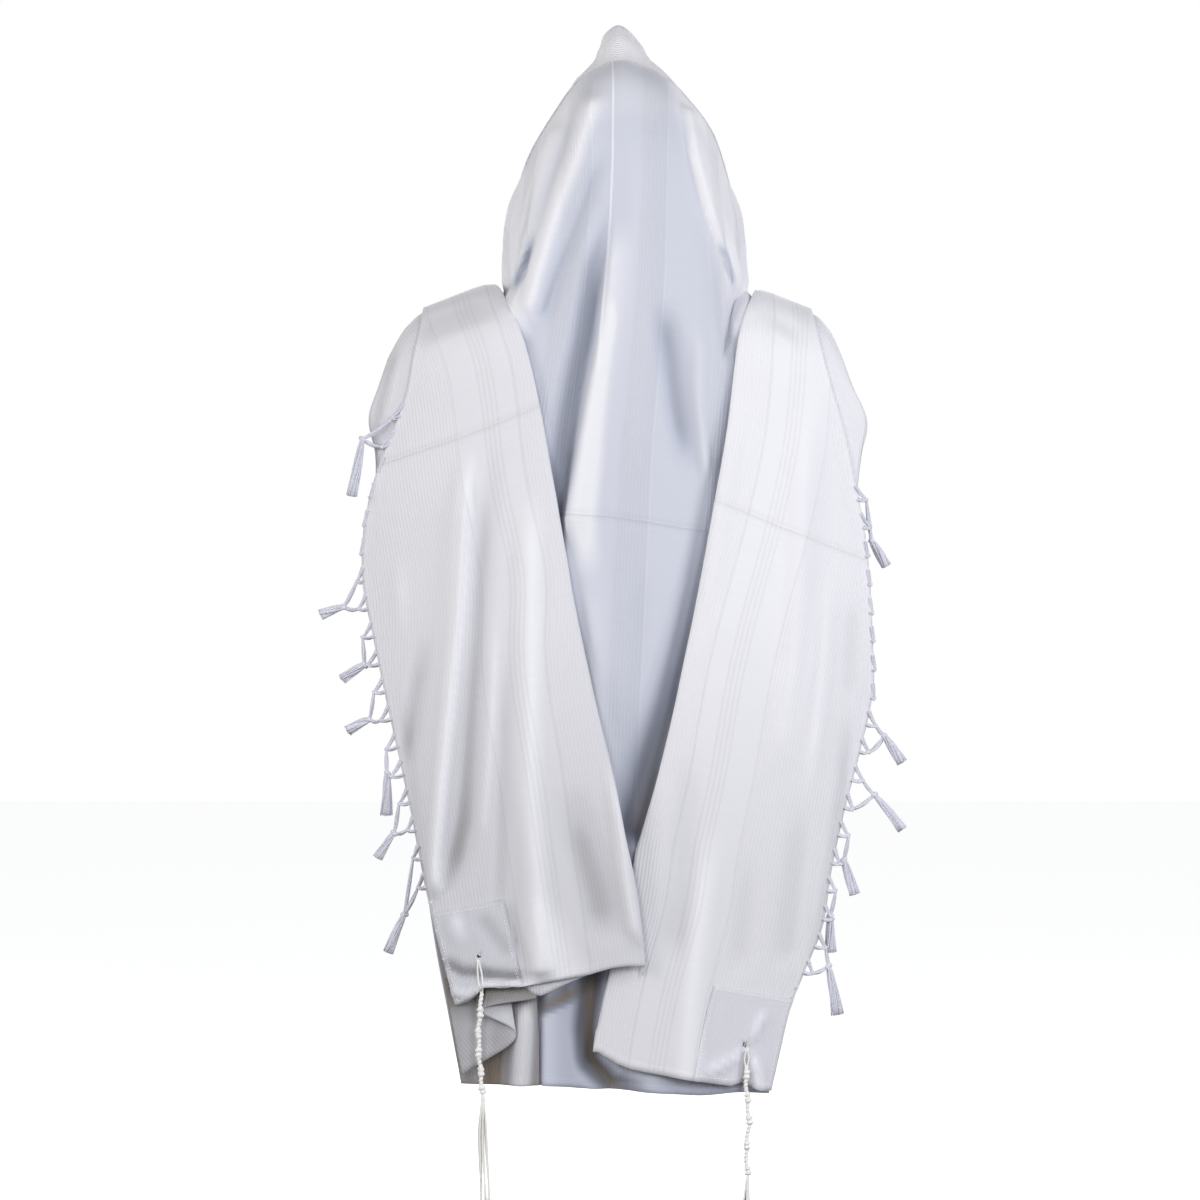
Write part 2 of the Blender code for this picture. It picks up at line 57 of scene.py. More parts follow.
# Depth of the back and of the chest by height, and height of the innermost cloth by distance
# from the middle
BACK_DEPTH = np.array([(-200, 126), (-450, 134), (-700, 140), (-1250, 146)]) / MILLIMETRES
CHEST_DEPTH = np.array([(-250, 112), (-450, 130), (-750, 134)]) / MILLIMETRES
SHOULDER_LINE = np.array([(125, -272), (150, -279), (235, -312), (250, -325),
    (262, -345)]) / MILLIMETRES
# Arches over the head, from the top to the foot: left x, z, right x, z. The crest lies on the
# crown, and the rim is the free edge that frames the face, with its peak
CREST_ARCH = np.array([(0, 0, 0, 0), (-29, -12, 32, -7), (-53, -31, 63, -23), (-71, -57, 86, -47),
    (-94, -97, 114, -86), (-113, -140, 130, -132), (-126, -184, 143, -178), (-130, -224, 149, -220),
    (-132, -264, 151, -262)]) / MILLIMETRES
RIM_ARCH = np.array([(0, 47, 0, 47), (-16, 29, 25, 31), (-30, -1, 45, 2), (-46, -36, 61, -32),
    (-68, -85, 82, -80), (-84, -132, 96, -128), (-93, -176, 104, -172), (-94, -216, 104, -212),
    (-88, -262, 98, -258)]) / MILLIMETRES
# Rows of the hood from the rim over the crown to the nape: share of the rim arch in the row,
# crown y, crown z, foot y, foot z, scale of x, distance behind the top of the shoulder at which
# the row crosses it
HOOD_ROWS = np.array([(1000, 112, 47, 78, -296, 1000, -200), (800, 92, 52, 70, -286, 1000, -170),
    (450, 62, 36, 50, -274, 1000, -135), (0, 22, 0, 16, -266, 1000, -100),
    (0, -28, -6, -12, -268, 990, -75), (0, -75, -32, -38, -274, 970, -50),
    (0, -107, -82, -60, -283, 940, -22), (0, -122, -145, -78, -295, 900, 6),
    (0, -127, -215, -93, -312, 870, 35), (0, -130, -285, -106, -338, 850, 70)]) / MILLIMETRES
# Rows of the back: left z, right z, left x, crease x, right x
BACK_ROWS = np.array([(-365, -368, -252, -14, 248), (-428, -438, -274, -34, 268),
    (-494, -510, -280, -51, 280), (-570, -592, -282, -64, 288), (-648, -672, -268, -74, 284),
    (-728, -754, -252, -82, 276), (-808, -836, -240, -88, 258), (-888, -916, -228, -92, 240),
    (-968, -996, -220, -94, 222), (-1042, -1070, -209, -94, 206), (-1114, -1140, -195, -93, 190),
    (-1186, -1210, -180, -92, 176)]) / MILLIMETRES
SHOULDER_SHARES = np.array([0.14, 0.56, 1.00])  # columns from the hood's foot to the outer edge
NECK_CROSSING = 0.150  # where the innermost cloth crosses the shoulder line beside the hood
SHOULDER_EDGE = 0.246  # where it crosses the shoulder line at its outer edge

# Folded ends over the shoulders, front hem to back hem: distance behind the top of the shoulder
# (front is negative), x of the inner fold and of the outer, fringed edge
FLAP_ROWS = {
    -1: np.array([(-435, -98, -238), (-388, -101, -245), (-340, -104, -250),
    (-290, -109, -252), (-245, -115, -252), (-200, -123, -250), (-160, -131, -246),
    (-120, -139, -240), (-80, -145, -235), (-40, -148, -230), (0, -147, -227), (40, -140, -227),
    (80, -130, -230), (120, -118, -236), (160, -107, -243), (200, -97, -257), (260, -84, -281),
    (320, -73, -294), (380, -63, -295), (440, -52, -283), (500, -38, -270), (570, -21, -254),
    (640, -4, -238), (705, 9, -225), (765, 21, -212), (815, 28, -199),
    (865, 32, -185)]) / MILLIMETRES,
    1: np.array([(-337, 104, 240), (-290, 107, 247), (-242, 112, 252), (-200, 126, 250),
    (-160, 138, 246), (-120, 148, 241), (-80, 158, 236), (-40, 164, 232), (0, 165, 230),
    (40, 161, 230), (80, 152, 234), (120, 143, 241), (160, 138, 252), (200, 134, 264),
    (260, 127, 277), (320, 118, 289), (380, 109, 295), (440, 99, 298), (500, 87, 299),
    (570, 73, 284), (640, 57, 265), (710, 38, 249), (780, 18, 237), (830, 3, 216), (867, -7, 201),
    (915, -18, 189), (963, -26, 178)]) / MILLIMETRES,
}
FLAP_COLUMNS = np.array([0.0, 0.08, 0.24, 0.43, 0.62, 0.81, 1.0])  # from inner fold to fringe
# Stretches folded back under the ends: how far their edges lie outside those of the ends
UNDER_OUTER = np.array([(-450, -4), (-50, 8), (0, 14), (160, 40), (220, 12), (300, -8), (750, -12),
    (870, -22), (1000, -22)]) / MILLIMETRES
UNDER_INNER = np.array([(-450, -20), (-240, -12), (-170, 0), (-50, 3), (1000, 2)]) / MILLIMETRES
UNDER_COLUMNS = np.array([0.0, 0.12, 0.38, 0.64, 0.88, 1.0])
HEM_DROP = {-1: 0.007, 1: -0.030}  # how far they show below the ends
# How far the left end stands off where it lies over the right one
LEFT_OVER_RIGHT = np.array([(-500, 0), (420, 0), (620, 15), (1000, 17)]) / MILLIMETRES
HELD = 0.14  # share of an end's width over which it rises from a held edge
FOLD_FLOOR = 0.0022  # an end's inner fold lies this far off the stretch under it
EDGE_FLOOR = {-1: 0.0026, 1: 0.0034}  # and its outer fold this far off the back
# Pleat between the back and the left end: z, outer x, inner x
PLEAT_ROWS = np.array([(-740, -250, -170), (-830, -236, -150), (-920, -224, -128),
    (-1000, -214, -108), (-1070, -202, -95), (-1130, -190, -90), (-1188, -179, -89)]) / MILLIMETRES
PLEAT_COLUMNS = np.array([0.0, 0.14, 0.4, 0.7, 0.9, 1.0])


def along(table, at):
    """Reads a table of places and values at the places 'at', linearly."""
    places, values = np.asarray(table).T
    order = np.argsort(places)
    return np.interp(at, places[order], values[order])


def bump(share):
    """A soft rise: 1 at 0, falling to 0 at 1 on either side, by a raised cosine."""
    return 0.5 + 0.5 * np.cos(np.pi * np.clip(np.abs(share), 0.0, 1.0))


def smooth_step(value):
    share = np.clip(value, 0.0, 1.0)
    return share * share * (3.0 - 2.0 * share)


def girth(x):
    """How far round the ellipse of the body x lies: 1 in the middle, falling to the sides."""
    return np.sqrt(np.clip(1.0 - (x / GIRTH_HALF_WIDTH) ** 2, 0.02, 1.0))


def back_y(x, z):
    """The back surface of the innermost cloth, without its folds and below the shoulders."""
    return -along(BACK_DEPTH, z) * girth(x)


def rounded_back_y(x, z):
    """The same, drawn in to the shoulder line along the quarter ellipse over each shoulder."""
    gone = np.clip((along(SHOULDER_LINE, np.abs(x)) - z) / ARCH_HEIGHT, 0.0, 1.0)
    return SHOULDER_Y + (back_y(x, z) - SHOULDER_Y) * np.sqrt(1.0 - (1.0 - gone) ** 2)


def quarter_length(a, b):
    """Length of a quarter of the ellipse with half axes a and b, by Ramanujan's formula."""
    return math.pi / 4 * (3 * (a + b) - np.sqrt((3 * a + b) * (a + 3 * b)))


def over_shoulder(x_shoulder, x, distance, lift, stand_off=0.0):
    """A point of cloth that crosses the shoulder line at x_shoulder and has gone 'distance'
    behind its top (in front of it where negative): a quarter ellipse over the shoulder, then
    straight down at the depth of the back or the chest. lift moves it out, layer on layer, and
    stand_off moves only what hangs."""
    top = along(SHOULDER_LINE, np.abs(x_shoulder)) + lift
    behind = distance >= 0
    gone = np.abs(distance)

    def depth_at(place, z):
        chest = along(CHEST_DEPTH, z) * girth(place) - SHOULDER_Y
        return np.where(behind, -back_y(place, z) + SHOULDER_Y, chest) + lift

    arch = quarter_length(depth_at(x_shoulder, top - ARCH_HEIGHT), ARCH_HEIGHT)
    turn = np.clip(gone / arch, 0.0, 1.0) * math.pi / 2
    z = top - ARCH_HEIGHT * (1.0 - np.cos(turn)) - np.maximum(gone - arch, 0.0)
    reach = depth_at(x, z) + stand_off
    y = SHOULDER_Y + np.where(behind, -1.0, 1.0) * reach * np.sin(turn)
    return np.stack([x, y, z], axis=-1)


def hood_row(row):
    """One row of the hood, left outer edge to right outer edge. On each side it is the crest
    arch blended with the rim arch, in the tilted plane through the row's crown and feet, and
    then the cloth over the shoulder."""
    rim_share, crown_y, crown_z, foot_y, foot_z, width, over = row
    arches = (CREST_ARCH + (RIM_ARCH - CREST_ARCH) * rim_share).T
    halves = []
    for side, (x, z) in ((-1, arches[:2]), (1, arches[2:])):
        rise = (z - z[-1]) / (z[0] - z[-1])
        y, z = foot_y + (crown_y - foot_y) * rise, foot_z + (crown_z - foot_z) * rise
        arch = np.stack([x * width, y, z], axis=-1)
        foot = abs(arch[-1, 0])
        crossing = NECK_CROSSING + (SHOULDER_EDGE - NECK_CROSSING) * SHOULDER_SHARES
        x = side * (foot + (SHOULDER_EDGE - foot) * SHOULDER_SHARES)
        halves.append(np.concatenate([arch, over_shoulder(crossing, x, over, 0.0)]))
    return np.concatenate([halves[0][:0:-1], halves[1]])


def middle_stretch():
    """Rows of the middle stretch from the rim over the crown and down the back to the hem,
    without its folds."""
    rows = [hood_row(row) for row in HOOD_ROWS]
    nape = rows[-1][:, 0]
    crease = nape[len(nape) // 2]
    share = (nape - crease) / np.where(nape < crease, crease - nape[0], nape[-1] - crease)
    for left_z, right_z, left_x, crease_x, right_x in BACK_ROWS:
        x = crease_x + share * np.where(share < 0, crease_x - left_x, right_x - crease_x)
        z = left_z + (right_z - left_z) * (x - left_x) / (right_x - left_x)
        rows.append(np.stack([x, rounded_back_y(x, z), z], axis=-1))
    return np.stack(rows)


def strip(side, shares, under):
    """A stretch thrown over a shoulder, as rows from the front hem to the back hem: an end
    itself, or the stretch folded back under it, with one edge held to the layer below."""
    distance, inner, outer = FLAP_ROWS[side].T.copy()
    if under:
        distance[[0, -1]] += (-HEM_DROP[side], HEM_DROP[side])
        inner += side * along(UNDER_INNER, distance)
        outer += side * along(UNDER_OUTER, distance)
    top = np.argmin(np.abs(distance))
    crossing = inner[top] + (outer[top] - inner[top]) * shares
    x = inner[:, None] + (outer - inner)[:, None] * shares
    low, high = (EDGE_FLOOR[side], PITCH) if under else (PITCH + FOLD_FLOOR, 2 * PITCH)
    lift = low + (high - low) * smooth_step((1.0 - shares if under else shares) / HELD)
    stand_off = along(LEFT_OVER_RIGHT, distance)[:, None] if side < 0 else 0.0
    return over_shoulder(crossing, x, distance[:, None], lift, stand_off)


def pleat_points():
    """The pleat on the back, folded at its outer edge and open at its inner edge."""
    z, outer, inner = PLEAT_ROWS.T[..., None]
    x = outer + (inner - outer) * PLEAT_COLUMNS
    lift = FOLD_FLOOR + (PITCH - FOLD_FLOOR) * smooth_step(PLEAT_COLUMNS / 0.3)
    return np.stack([x, back_y(x, z) - lift, np.broadcast_to(z, x.shape)], axis=-1)


def at_places(places, lengths, path):
    """The points at some places along a path with known lengths from its start."""
    return np.stack([np.interp(places, lengths, path[:, axis]) for axis in range(3)], axis=-1)


def smooth_route(knots, count):
    """Points evenly spaced on the smooth curve through the knots, each span a cubic whose
    slope at a knot is half the way between the knots beside it."""
    ahead = 2 * knots[-1] - knots[-2]
    padded = np.concatenate([[2 * knots[0] - knots[1]], knots, [ahead]])
    a, b, c, d = (padded[i:len(padded) - 3 + i, None, :] for i in range(4))
    t = np.linspace(0.0, 1.0, 12, endpoint=False)[None, :, None]
    spans = b + 0.5 * t * (c - a + t * (2 * a - 5 * b + 4 * c - d + t * (3 * b - a - 3 * c + d)))
    fine = np.concatenate([spans.reshape(-1, 3), knots[-1:]])
    length = np.concatenate([[0.0], np.cumsum(np.linalg.norm(np.diff(fine, axis=0), axis=1))])
    return at_places(np.linspace(0.0, length[-1], count), length, fine)


# ---------------- folds of the cloth

# A fold is a name, a path (x, z, x, z ...) and a shape, in tenths of a millimetre: half widths on
# its left and right at its start, then at its end, height outwards, lengths over which it begins
# and ends. Folds of the middle stretch
MIDDLE_FOLDS = (
    ("left_ridge", (-155, -461, -306, -832, -433, -1294, -606, -1757, -757, -2220, -861, -2567,
     -972, -2960, -1063, -3259), (301, 139, 255, 127, 105, 300, 300)),
    ("left_valley", (-155, -1086, -352, -1722, -537, -2220, -687, -2567, -822, -2960, -937, -3259),
     (81, 174, 81, 185, -68, 500, 300)),
    ("outer_line", (-699, -808, -896, -1595, -988, -2058, -1081, -2428, -1197, -2822),
     (58, 150, 69, 139, 55, 200, 300)),
    ("faint_line", (-792, -947, -1046, -1780, -1162, -2301), (46, 104, 46, 93, 30, 300, 300)),
    ("outer_pocket", (-954, -2070, -1035, -2382, -1127, -2787), (69, 93, 81, 104, -110, 300, 200)),
    ("right_lap", (770, -577, 874, -1260, 1002, -1780, 1152, -2231, 1302, -2590, 1430, -2960),
     (46, 301, 46, 208, 100, 200, 300)),
    ("right_pocket", (1152, -2070, 1268, -2417, 1360, -2764), (58, 69, 58, 69, -60, 300, 200)),
    ("centre_edge", (-40, -1954, -51, -2359, -97, -2822, -167, -3305, -224, -3673, -316, -4132,
     -397, -4592, -477, -5052, -558, -5489, -512, -5902), (69, 393, 69, 463, 130, 600, 500)),
    ("centre_trough", (-97, -1665, -155, -2382, -236, -2845, -305, -3339, -374, -3673, -454, -4132,
     -523, -4592, -604, -5075, -673, -5489, -696, -6017), (208, 104, 440, 93, -168, 1400, 600)),
    ("right_trough", (527, -2891, 569, -3362, 626, -3707, 683, -4109, 764, -4569, 844, -5144),
     (197, 255, 208, 255, -115, 500, 800)),
    ("right_ridge", (902, -3133, 959, -3535, 948, -4109, 982, -4569, 1051, -5086),
     (149, 149, 103, 103, 50, 500, 300)),
    ("flap_shade", (1327, -4109, 1270, -4569, 1189, -5029, 1097, -5604, 959, -6408, 821, -7098,
     683, -7672, 454, -8362, 247, -9281), (184, 92, 644, 161, -208, 4200, 200)),
    ("left_gap", (-1220, -2729, -1167, -3075, -1098, -3443), (139, 139, 162, 162, 120, 200, 200)),
    ("right_gap", (1534, -2729, 1465, -3075, 1396, -3443), (139, 139, 162, 162, 100, 200, 200)),
    ("soft_column", (273, -739, 296, -2012, 270, -3650, 178, -5259),
     (278, 278, 278, 278, 20, 1000, 1000)),
    ("low_left", (-305, -5948, -213, -7557, -52, -9396), (161, 253, 161, 207, 40, 800, 800)),
    ("low_middle", (270, -5948, 201, -7327, 109, -8247), (207, 207, 161, 161, -25, 600, 600)),
    ("hem_edge", (-811, -10316, -822, -11120, -822, -12154), (46, 253, 46, 276, 80, 600, 10)),
    ("hem_trough", (-213, -10201, -282, -10833, -328, -11350, -282, -11718, -52, -11970,
     385, -12085), (299, 184, 207, 161, -260, 500, 500)),
    ("hem_ridge", (270, -11465, 385, -11810, 500, -12154), (276, 276, 299, 299, 40, 300, 10)),
)
# Where it is painted whiter: painted light on its ridges, and the lap on the right, which also lies
# double: height is a share
MIDDLE_DOUBLED_AND_LIT = (
    ("right_lap", (805, -600, 909, -1260, 1036, -1780, 1187, -2231, 1337, -2590, 1464, -2914),
     (104, 509, 93, 185, 11500, 1000, 200)),
    ("left_ridge", (-202, -508, -340, -832, -479, -1294, -664, -1757, -815, -2220, -919, -2567,
     -1017, -2960, -1098, -3259), (231, 150, 208, 139, 5500, 400, 400)),
    ("centre_strip", (-51, -2822, -64, -3190, -179, -3776, -259, -4351, -328, -5006, -385, -5489,
     -328, -6293), (69, 81, 208, 278, 10000, 500, 700)),
)
# Painted shade where it lies in against another layer, in gaps and contact places: height is a
# share
MIDDLE_PAINTED_SHADE = (
    ("pleat_gap", (-1431, -11235, -1443, -12154), (103, 103, 103, 103, 11000, 300, 10)),
    ("hem_contact", (-949, -11143, -696, -11028, -305, -10844),
     (115, 161, 115, 138, 9000, 120, 300)),
    ("outer_pocket", (-965, -2151, -1035, -2382, -1116, -2590, -1208, -2845),
     (58, 93, 104, 93, 7500, 300, 150)),
    ("flap_contact", (1396, -3305, 1339, -3765, 1258, -4339, 1166, -4914, 1086, -5489),
     (92, 103, 92, 103, 2800, 800, 600)),
    ("lap_pocket", (1164, -2185, 1256, -2393, 1337, -2648, 1418, -2856),
     (69, 81, 69, 81, 9000, 200, 200)),
)
# Folds of the ends behind and in front
BACK_FOLDS = {
    -1: (
        ("outer_ridge", (-1679, -4575, -1759, -5721, -1817, -6637, -1908, -7553, -2000, -8470,
         -2080, -9386, -2069, -9902), (229, 103, 160, 92, 150, 1000, 300)),
        ("outer_trough", (-1416, -4461, -1473, -5033, -1542, -5950, -1599, -6866, -1656, -7553,
         -1702, -8241, -1759, -8928, -1851, -9386, -1954, -9844),
         (115, 218, 160, 229, -100, 1400, 600)),
        ("low_pocket", (-1702, -8355, -1771, -9043, -1874, -9501, -1954, -9844),
         (160, 183, 137, 160, -20, 800, 500)),
        ("edge_trough", (-2183, -6752, -2321, -7553, -2435, -8470),
         (160, 160, 137, 160, -80, 600, 500)),
        ("small_ridge", (-1416, -6408, -1439, -7553, -1496, -8470, -1565, -9272),
         (80, 103, 80, 92, 45, 800, 400)),
        ("small_trough", (-1244, -6866, -1290, -8241, -1324, -9386, -1358, -10016),
         (92, 115, 92, 115, -50, 1000, 300)),
        ("broad_ridge", (-992, -5033, -992, -6408, -992, -7783, -980, -8699, -912, -9615,
         -866, -10761), (229, 252, 275, 229, 105, 1200, 150)),
        ("inner_pocket", (-579, -8470, -408, -9157, -236, -9730, -75, -10417),
         (275, 321, 344, 344, -88, 800, 550)),
        ("inner_flare", (-98, -8126, 39, -8928, 131, -9615, 268, -10417),
         (160, 80, 137, 69, 100, 800, 300)),
        ("edge_ridge", (-2527, -5721, -2504, -6408, -2481, -6981),
         (137, 137, 137, 137, 40, 1000, 800)),
        ("shoulder_dip", (-1221, -2903, -1702, -3017, -2160, -3201, -2435, -3407),
         (275, 298, 252, 252, -60, 500, 400)),
        ("hem_roll", (-1954, -10875, -1725, -10944, -1496, -10829, -1221, -10807, -900, -10841),
         (46, 69, 46, 69, 110, 200, 200)),
        ("hem_roll_shade", (-2023, -10532, -1771, -10669, -1496, -10692, -1244, -10715,
         -969, -10726), (103, 103, 92, 103, -150, 200, 250)),
        ("square_low", (-1610, -9982, -1404, -10257, -1198, -10509),
         (149, 149, 149, 149, -30, 200, 120)),
        ("square_ridge", (-1908, -9902, -1839, -10188, -1771, -10440),
         (137, 160, 137, 137, 50, 300, 300)),
        ("square_side", (-1278, -9844, -1106, -10360, -946, -10818),
         (69, 103, 57, 92, -50, 200, 100)),
    ),
    1: (
        ("broad_ridge", (2241, -3885, 2195, -4803, 2138, -5949, 2058, -7096, 1897, -8472),
         (298, 275, 275, 252, 90, 1200, 1200)),
        ("outer_ridge", (2493, -5949, 2425, -6867, 2333, -7784, 2195, -8931),
         (126, 126, 138, 138, 50, 1000, 1200)),
        ("soft_spot", (2746, -6408, 2723, -6981, 2700, -7692), (138, 138, 138, 138, -40, 400, 400)),
        ("inner_ridge", (1358, -3885, 1209, -5032, 1048, -6179, 842, -7325),
         (138, 275, 138, 298, 60, 1000, 1400)),
        ("inner_shade", (842, -8128, 750, -9504, 590, -10708), (229, 229, 275, 252, -50, 800, 600)),
        ("edge_fall", (2172, -8701, 2058, -9734, 1943, -10708),
         (252, 161, 252, 161, -45, 800, 300)),
        ("low_ridge", (1094, -8931, 957, -10078, 842, -11110, 773, -12027),
         (229, 252, 252, 275, 70, 1000, 10)),
        ("low_trough", (1553, -9160, 1461, -10192, 1392, -10823),
         (183, 183, 206, 206, -35, 1000, 400)),
        ("shoulder_dip", (1645, -3037, 1943, -3197, 2218, -3484),
         (161, 161, 161, 161, -35, 400, 400)),
        ("star_left", (1438, -11591, 1255, -11729, 1003, -11843), (57, 69, 80, 80, 60, 80, 100)),
        ("star_down", (1553, -11637, 1610, -11821, 1645, -12073), (69, 80, 92, 92, 80, 80, 10)),
        ("star_pull", (1473, -11614, 1461, -11798, 1450, -12096), (57, 57, 69, 69, -60, 60, 10)),
        ("star_up", (1530, -11499, 1622, -11293, 1736, -11087), (57, 69, 69, 69, 45, 80, 200)),
    ),
}
FRONT_FOLDS = {
    -1: (
        ("outer", (-2405, -5739, -2380, -6408, -2332, -7016), (195, 195, 243, 243, 60, 500, 10)),
        ("inner", (-1796, -5191, -1699, -6165, -1650, -7016), (195, 195, 219, 219, 70, 800, 10)),
    ),
    1: (
        ("outer", (2122, -4218, 2098, -4948, 2049, -5921), (170, 170, 219, 219, 60, 500, 10)),
        ("inner", (1562, -4218, 1465, -4948, 1392, -5921), (195, 195, 219, 219, 70, 600, 10)),
    ),
}
# Painted shade where an end lies in against another layer and along its edge, and painted light
# where it is lighter: height is a share
END_PAINTED_SHADE_AND_LIGHT = {
    -1: (
        ("hem_light", (-946, -9615, -809, -10188, -694, -10555, -602, -10807),
         (137, 298, 160, 458, -3400, 700, 120)),
        ("edge", (-2504, -7439, -2435, -8012, -2343, -8699, -2275, -9272, -2206, -9844),
         (92, 160, 69, 137, 1400, 500, 300)),
    ),
    1: (
        ("edge", (2700, -7555, 2631, -8472, 2516, -9389, 2379, -10192, 2241, -10880),
         (161, 92, 161, 92, 2500, 800, 300)),
    ),
}
# Painted shade on the stretch under the left end, along its outer fold
UNDER_LEFT_PAINTED_SHADE = (
    ("outer_fold", (-2514, -3394, -2606, -3704, -2698, -4049, -2790, -4395, -2848, -4740),
     (138, 81, 115, 81, 3500, 300, 400)),
)
PLEAT_FOLDS = (
    ("front_roll", (-1028, -10828, -1062, -11459, -1120, -12148),
     (184, 161, 207, 207, 120, 500, 10)),
    ("back_fall", (-1407, -10828, -1418, -11402, -1430, -12148),
     (184, 161, 207, 161, -80, 500, 10)),
)
# Folds of the two sides of the hood, whose paths are y, z
SIDE_FOLDS = {
    -1: (
        ("front_fold", (580, -800, 520, -1700, 400, -2700), (160, 100, 200, 120, 70, 600, 300)),
        ("middle_fold", (160, -1100, 120, -1900, 20, -2850), (140, 120, 160, 140, -60, 700, 300)),
        ("rear_fold", (-300, -1200, -240, -2000, -300, -2900), (140, 100, 180, 120, 60, 600, 300)),
    ),
    1: (
        ("front_fold", (540, -700, 500, -1600, 360, -2680), (140, 120, 200, 140, 60, 600, 300)),
        ("middle_fold", (100, -1000, 100, -1900, 0, -2850), (140, 120, 160, 140, -60, 700, 300)),
        ("rear_fold", (-340, -1300, -260, -2000, -360, -2900), (120, 100, 180, 120, 70, 600, 300)),
    ),
}
# Hollow flanks of the hood's peak: height, share of its width kept on the left and on the right
PEAK_AXIS = 0.0016
PEAK = np.array([(-1000, 10000, 10000), (-600, 9700, 10000), (-300, 9500, 10000),
    (-170, 9400, 9800), (-97, 8600, 9500), (-25, 8000, 9000), (48, 7200, 8300), (121, 7200, 8000),
    (193, 7500, 8300), (270, 7500, 8700), (340, 8500, 8800), (410, 10000, 9400),
    (550, 10000, 9000)]) / TENTHS
# Where the pressed crease across the cloth runs (x, z)
MIDDLE_CREASE = np.array([(-650, -5408), (-75, -5443), (385, -5512), (1028, -5615),
    (1649, -5684)]) / TENTHS
END_CREASE = {
    -1: np.array([(-2756, -4839), (-2321, -4701), (-1828, -4541), (-1473, -4415), (-1118, -4266),
        (-992, -4209), (-889, -4174)]) / TENTHS,
    1: np.array([(1186, -5273), (1530, -5410), (1863, -5548), (2402, -5754),
        (2941, -5949)]) / TENTHS,
}
# Where the middle crease and the thin line to the right of it run (z, x)
MIDDLE_LINE = np.array([(-184, -21), (-589, -16), (-1028, -21), (-1560, -43), (-2012, -34),
    (-2370, -43), (-2810, -86), (-3282, -156), (-4604, -339), (-5833, -420), (-7557, -512),
    (-9281, -581), (-12154, -627)]) / TENTHS
THIN_LINE = np.array([(-184, 759), (-716, 759), (-1167, 736), (-1479, 712), (-1919, 620),
    (-2544, 585), (-2960, 569), (-3305, 534), (-4604, 419), (-5833, 362), (-7557, 281),
    (-9281, 212), (-12154, 166)]) / TENTHS
# How far the hem behind is drawn up, by share across an end (the stretch underneath is negative)
HEM_RISES = {
    -1: np.array([(-10000, 580), (-8800, 500), (-7230, 350), (-6200, 160), (-5660, 180),
        (-4170, 240), (-2690, 280), (-110, 300), (-10, 90), (800, 75), (1870, 65), (2880, 35),
        (4500, 45), (5730, 50), (6680, 70), (7630, 100), (8450, 145), (9000, 60), (9530, 0),
        (10000, 0)]) / TENTHS,
    1: np.array([(-10000, 0), (-630, 40), (-200, 150), (0, 160), (180, 180), (600, 100), (1330, 10),
        (2000, -30), (3000, -45), (6000, -40), (7700, -30), (8300, 40), (8500, 60), (8750, 20),
        (9300, -20), (10000, 0)]) / TENTHS,
}
# How far each end's inner fold, and the outer edge beneath it, stand to the right of the part's,
# by height
FOLD_SHIFT = {
    -1: np.array([(-7550, 0), (-6600, 25), (-6000, 35), (-4800, 30), (-4340, 45), (-3430, 65),
        (-2900, 40)]) / TENTHS,
    1: np.array([(-11200, 0), (-10540, -30), (-9270, -135), (-8470, -115), (-7550, -95),
        (-6410, -85), (-5490, -60), (-4800, -40), (-4340, -22), (-3430, -10)]) / TENTHS,
}
UNDER_SHIFT = {
    -1: np.array([(-500, 0), (-460, -3), (-420, -6), (-360, -6), (-320, 0)]) / MILLIMETRES,
    1: np.array([(-500, 0), (-320, 0)]) / MILLIMETRES,
}
# Share of the way from the inner fold to the fringed edge at which the four-line stripe runs,
# by distance behind the top of the shoulder
STRIPE_PLACE = {
    -1: np.array([(-450, 420), (-200, 450), (0, 500), (50, 485), (160, 353), (297, 280), (414, 250),
        (495, 325), (612, 368), (788, 413), (900, 430)]) / MILLIMETRES,
    1: np.array([(-350, 500), (-100, 620), (35, 780), (210, 540), (327, 390), (495, 268),
        (641, 294), (705, 306), (808, 334), (940, 345), (1000, 345)]) / MILLIMETRES,
}
# The left end's lower edge falls from behind its corner in two sharp turns: where the folds leave
# the hem above, and the lowest points of the edge
FOLD_TOPS = np.array([(-866, -1600, -10784), (-1486, -1530, -10790), (-1269, -1500, -10724),
    (-1984, -1430, -10754)]) / TENTHS
FOLD_TIPS = np.array([(-923, -1635, -10963), (-1530, -1605, -11138), (-1176, -1555, -11338),
    (-1774, -1500, -11861)]) / TENTHS

CREASE_HEIGHT = 0.635  # pressed middle crease above the hem
THIN_PLACE = 0.078  # the thin line lies this far to the right of the middle crease
GRID_STEP = 0.0036  # spacing of the finished meshes across what shows
ROW_STEP = 0.0048  # down it
COARSE_STEP = 0.0075  # and across what is hidden
MIDDLE_STEPS = (0.0056, 0.0038)  # the middle stretch, down and across


def normals(points):
    """Unit normals of a grid of points, pointing out of the back: rows run from the rim to the
    hem and columns from left to right."""
    cross = np.cross(np.gradient(points, axis=0), np.gradient(points, axis=1))
    return cross / np.maximum(np.linalg.norm(cross, axis=-1, keepdims=True), 1e-9)


def hermite(values, places, at):
    """Smooth curve through values, along their first axis: a cubic on each span, whose slopes at
    its two ends are the central differences there."""
    slopes = np.gradient(values, places, axis=0)
    index = np.clip(np.searchsorted(places, at, side="right") - 1, 0, len(places) - 2)
    shape = (-1,) + (1,) * (values.ndim - 1)
    span = (places[index + 1] - places[index]).reshape(shape)
    t = (at - places[index]).reshape(shape) / span
    start = values[index] * (1 + 2 * t) + slopes[index] * span * t
    end = values[index + 1] * (3 - 2 * t) + slopes[index + 1] * span * (t - 1)
    return start * (1 - t) ** 2 + end * t**2


def line_places(points):
    """Mean distance from the first line of a grid to each of its lines, along the first axis."""
    steps = np.linalg.norm(np.diff(points, axis=0), axis=-1).mean(axis=1)
    return np.concatenate([[0.0], np.cumsum(steps)])


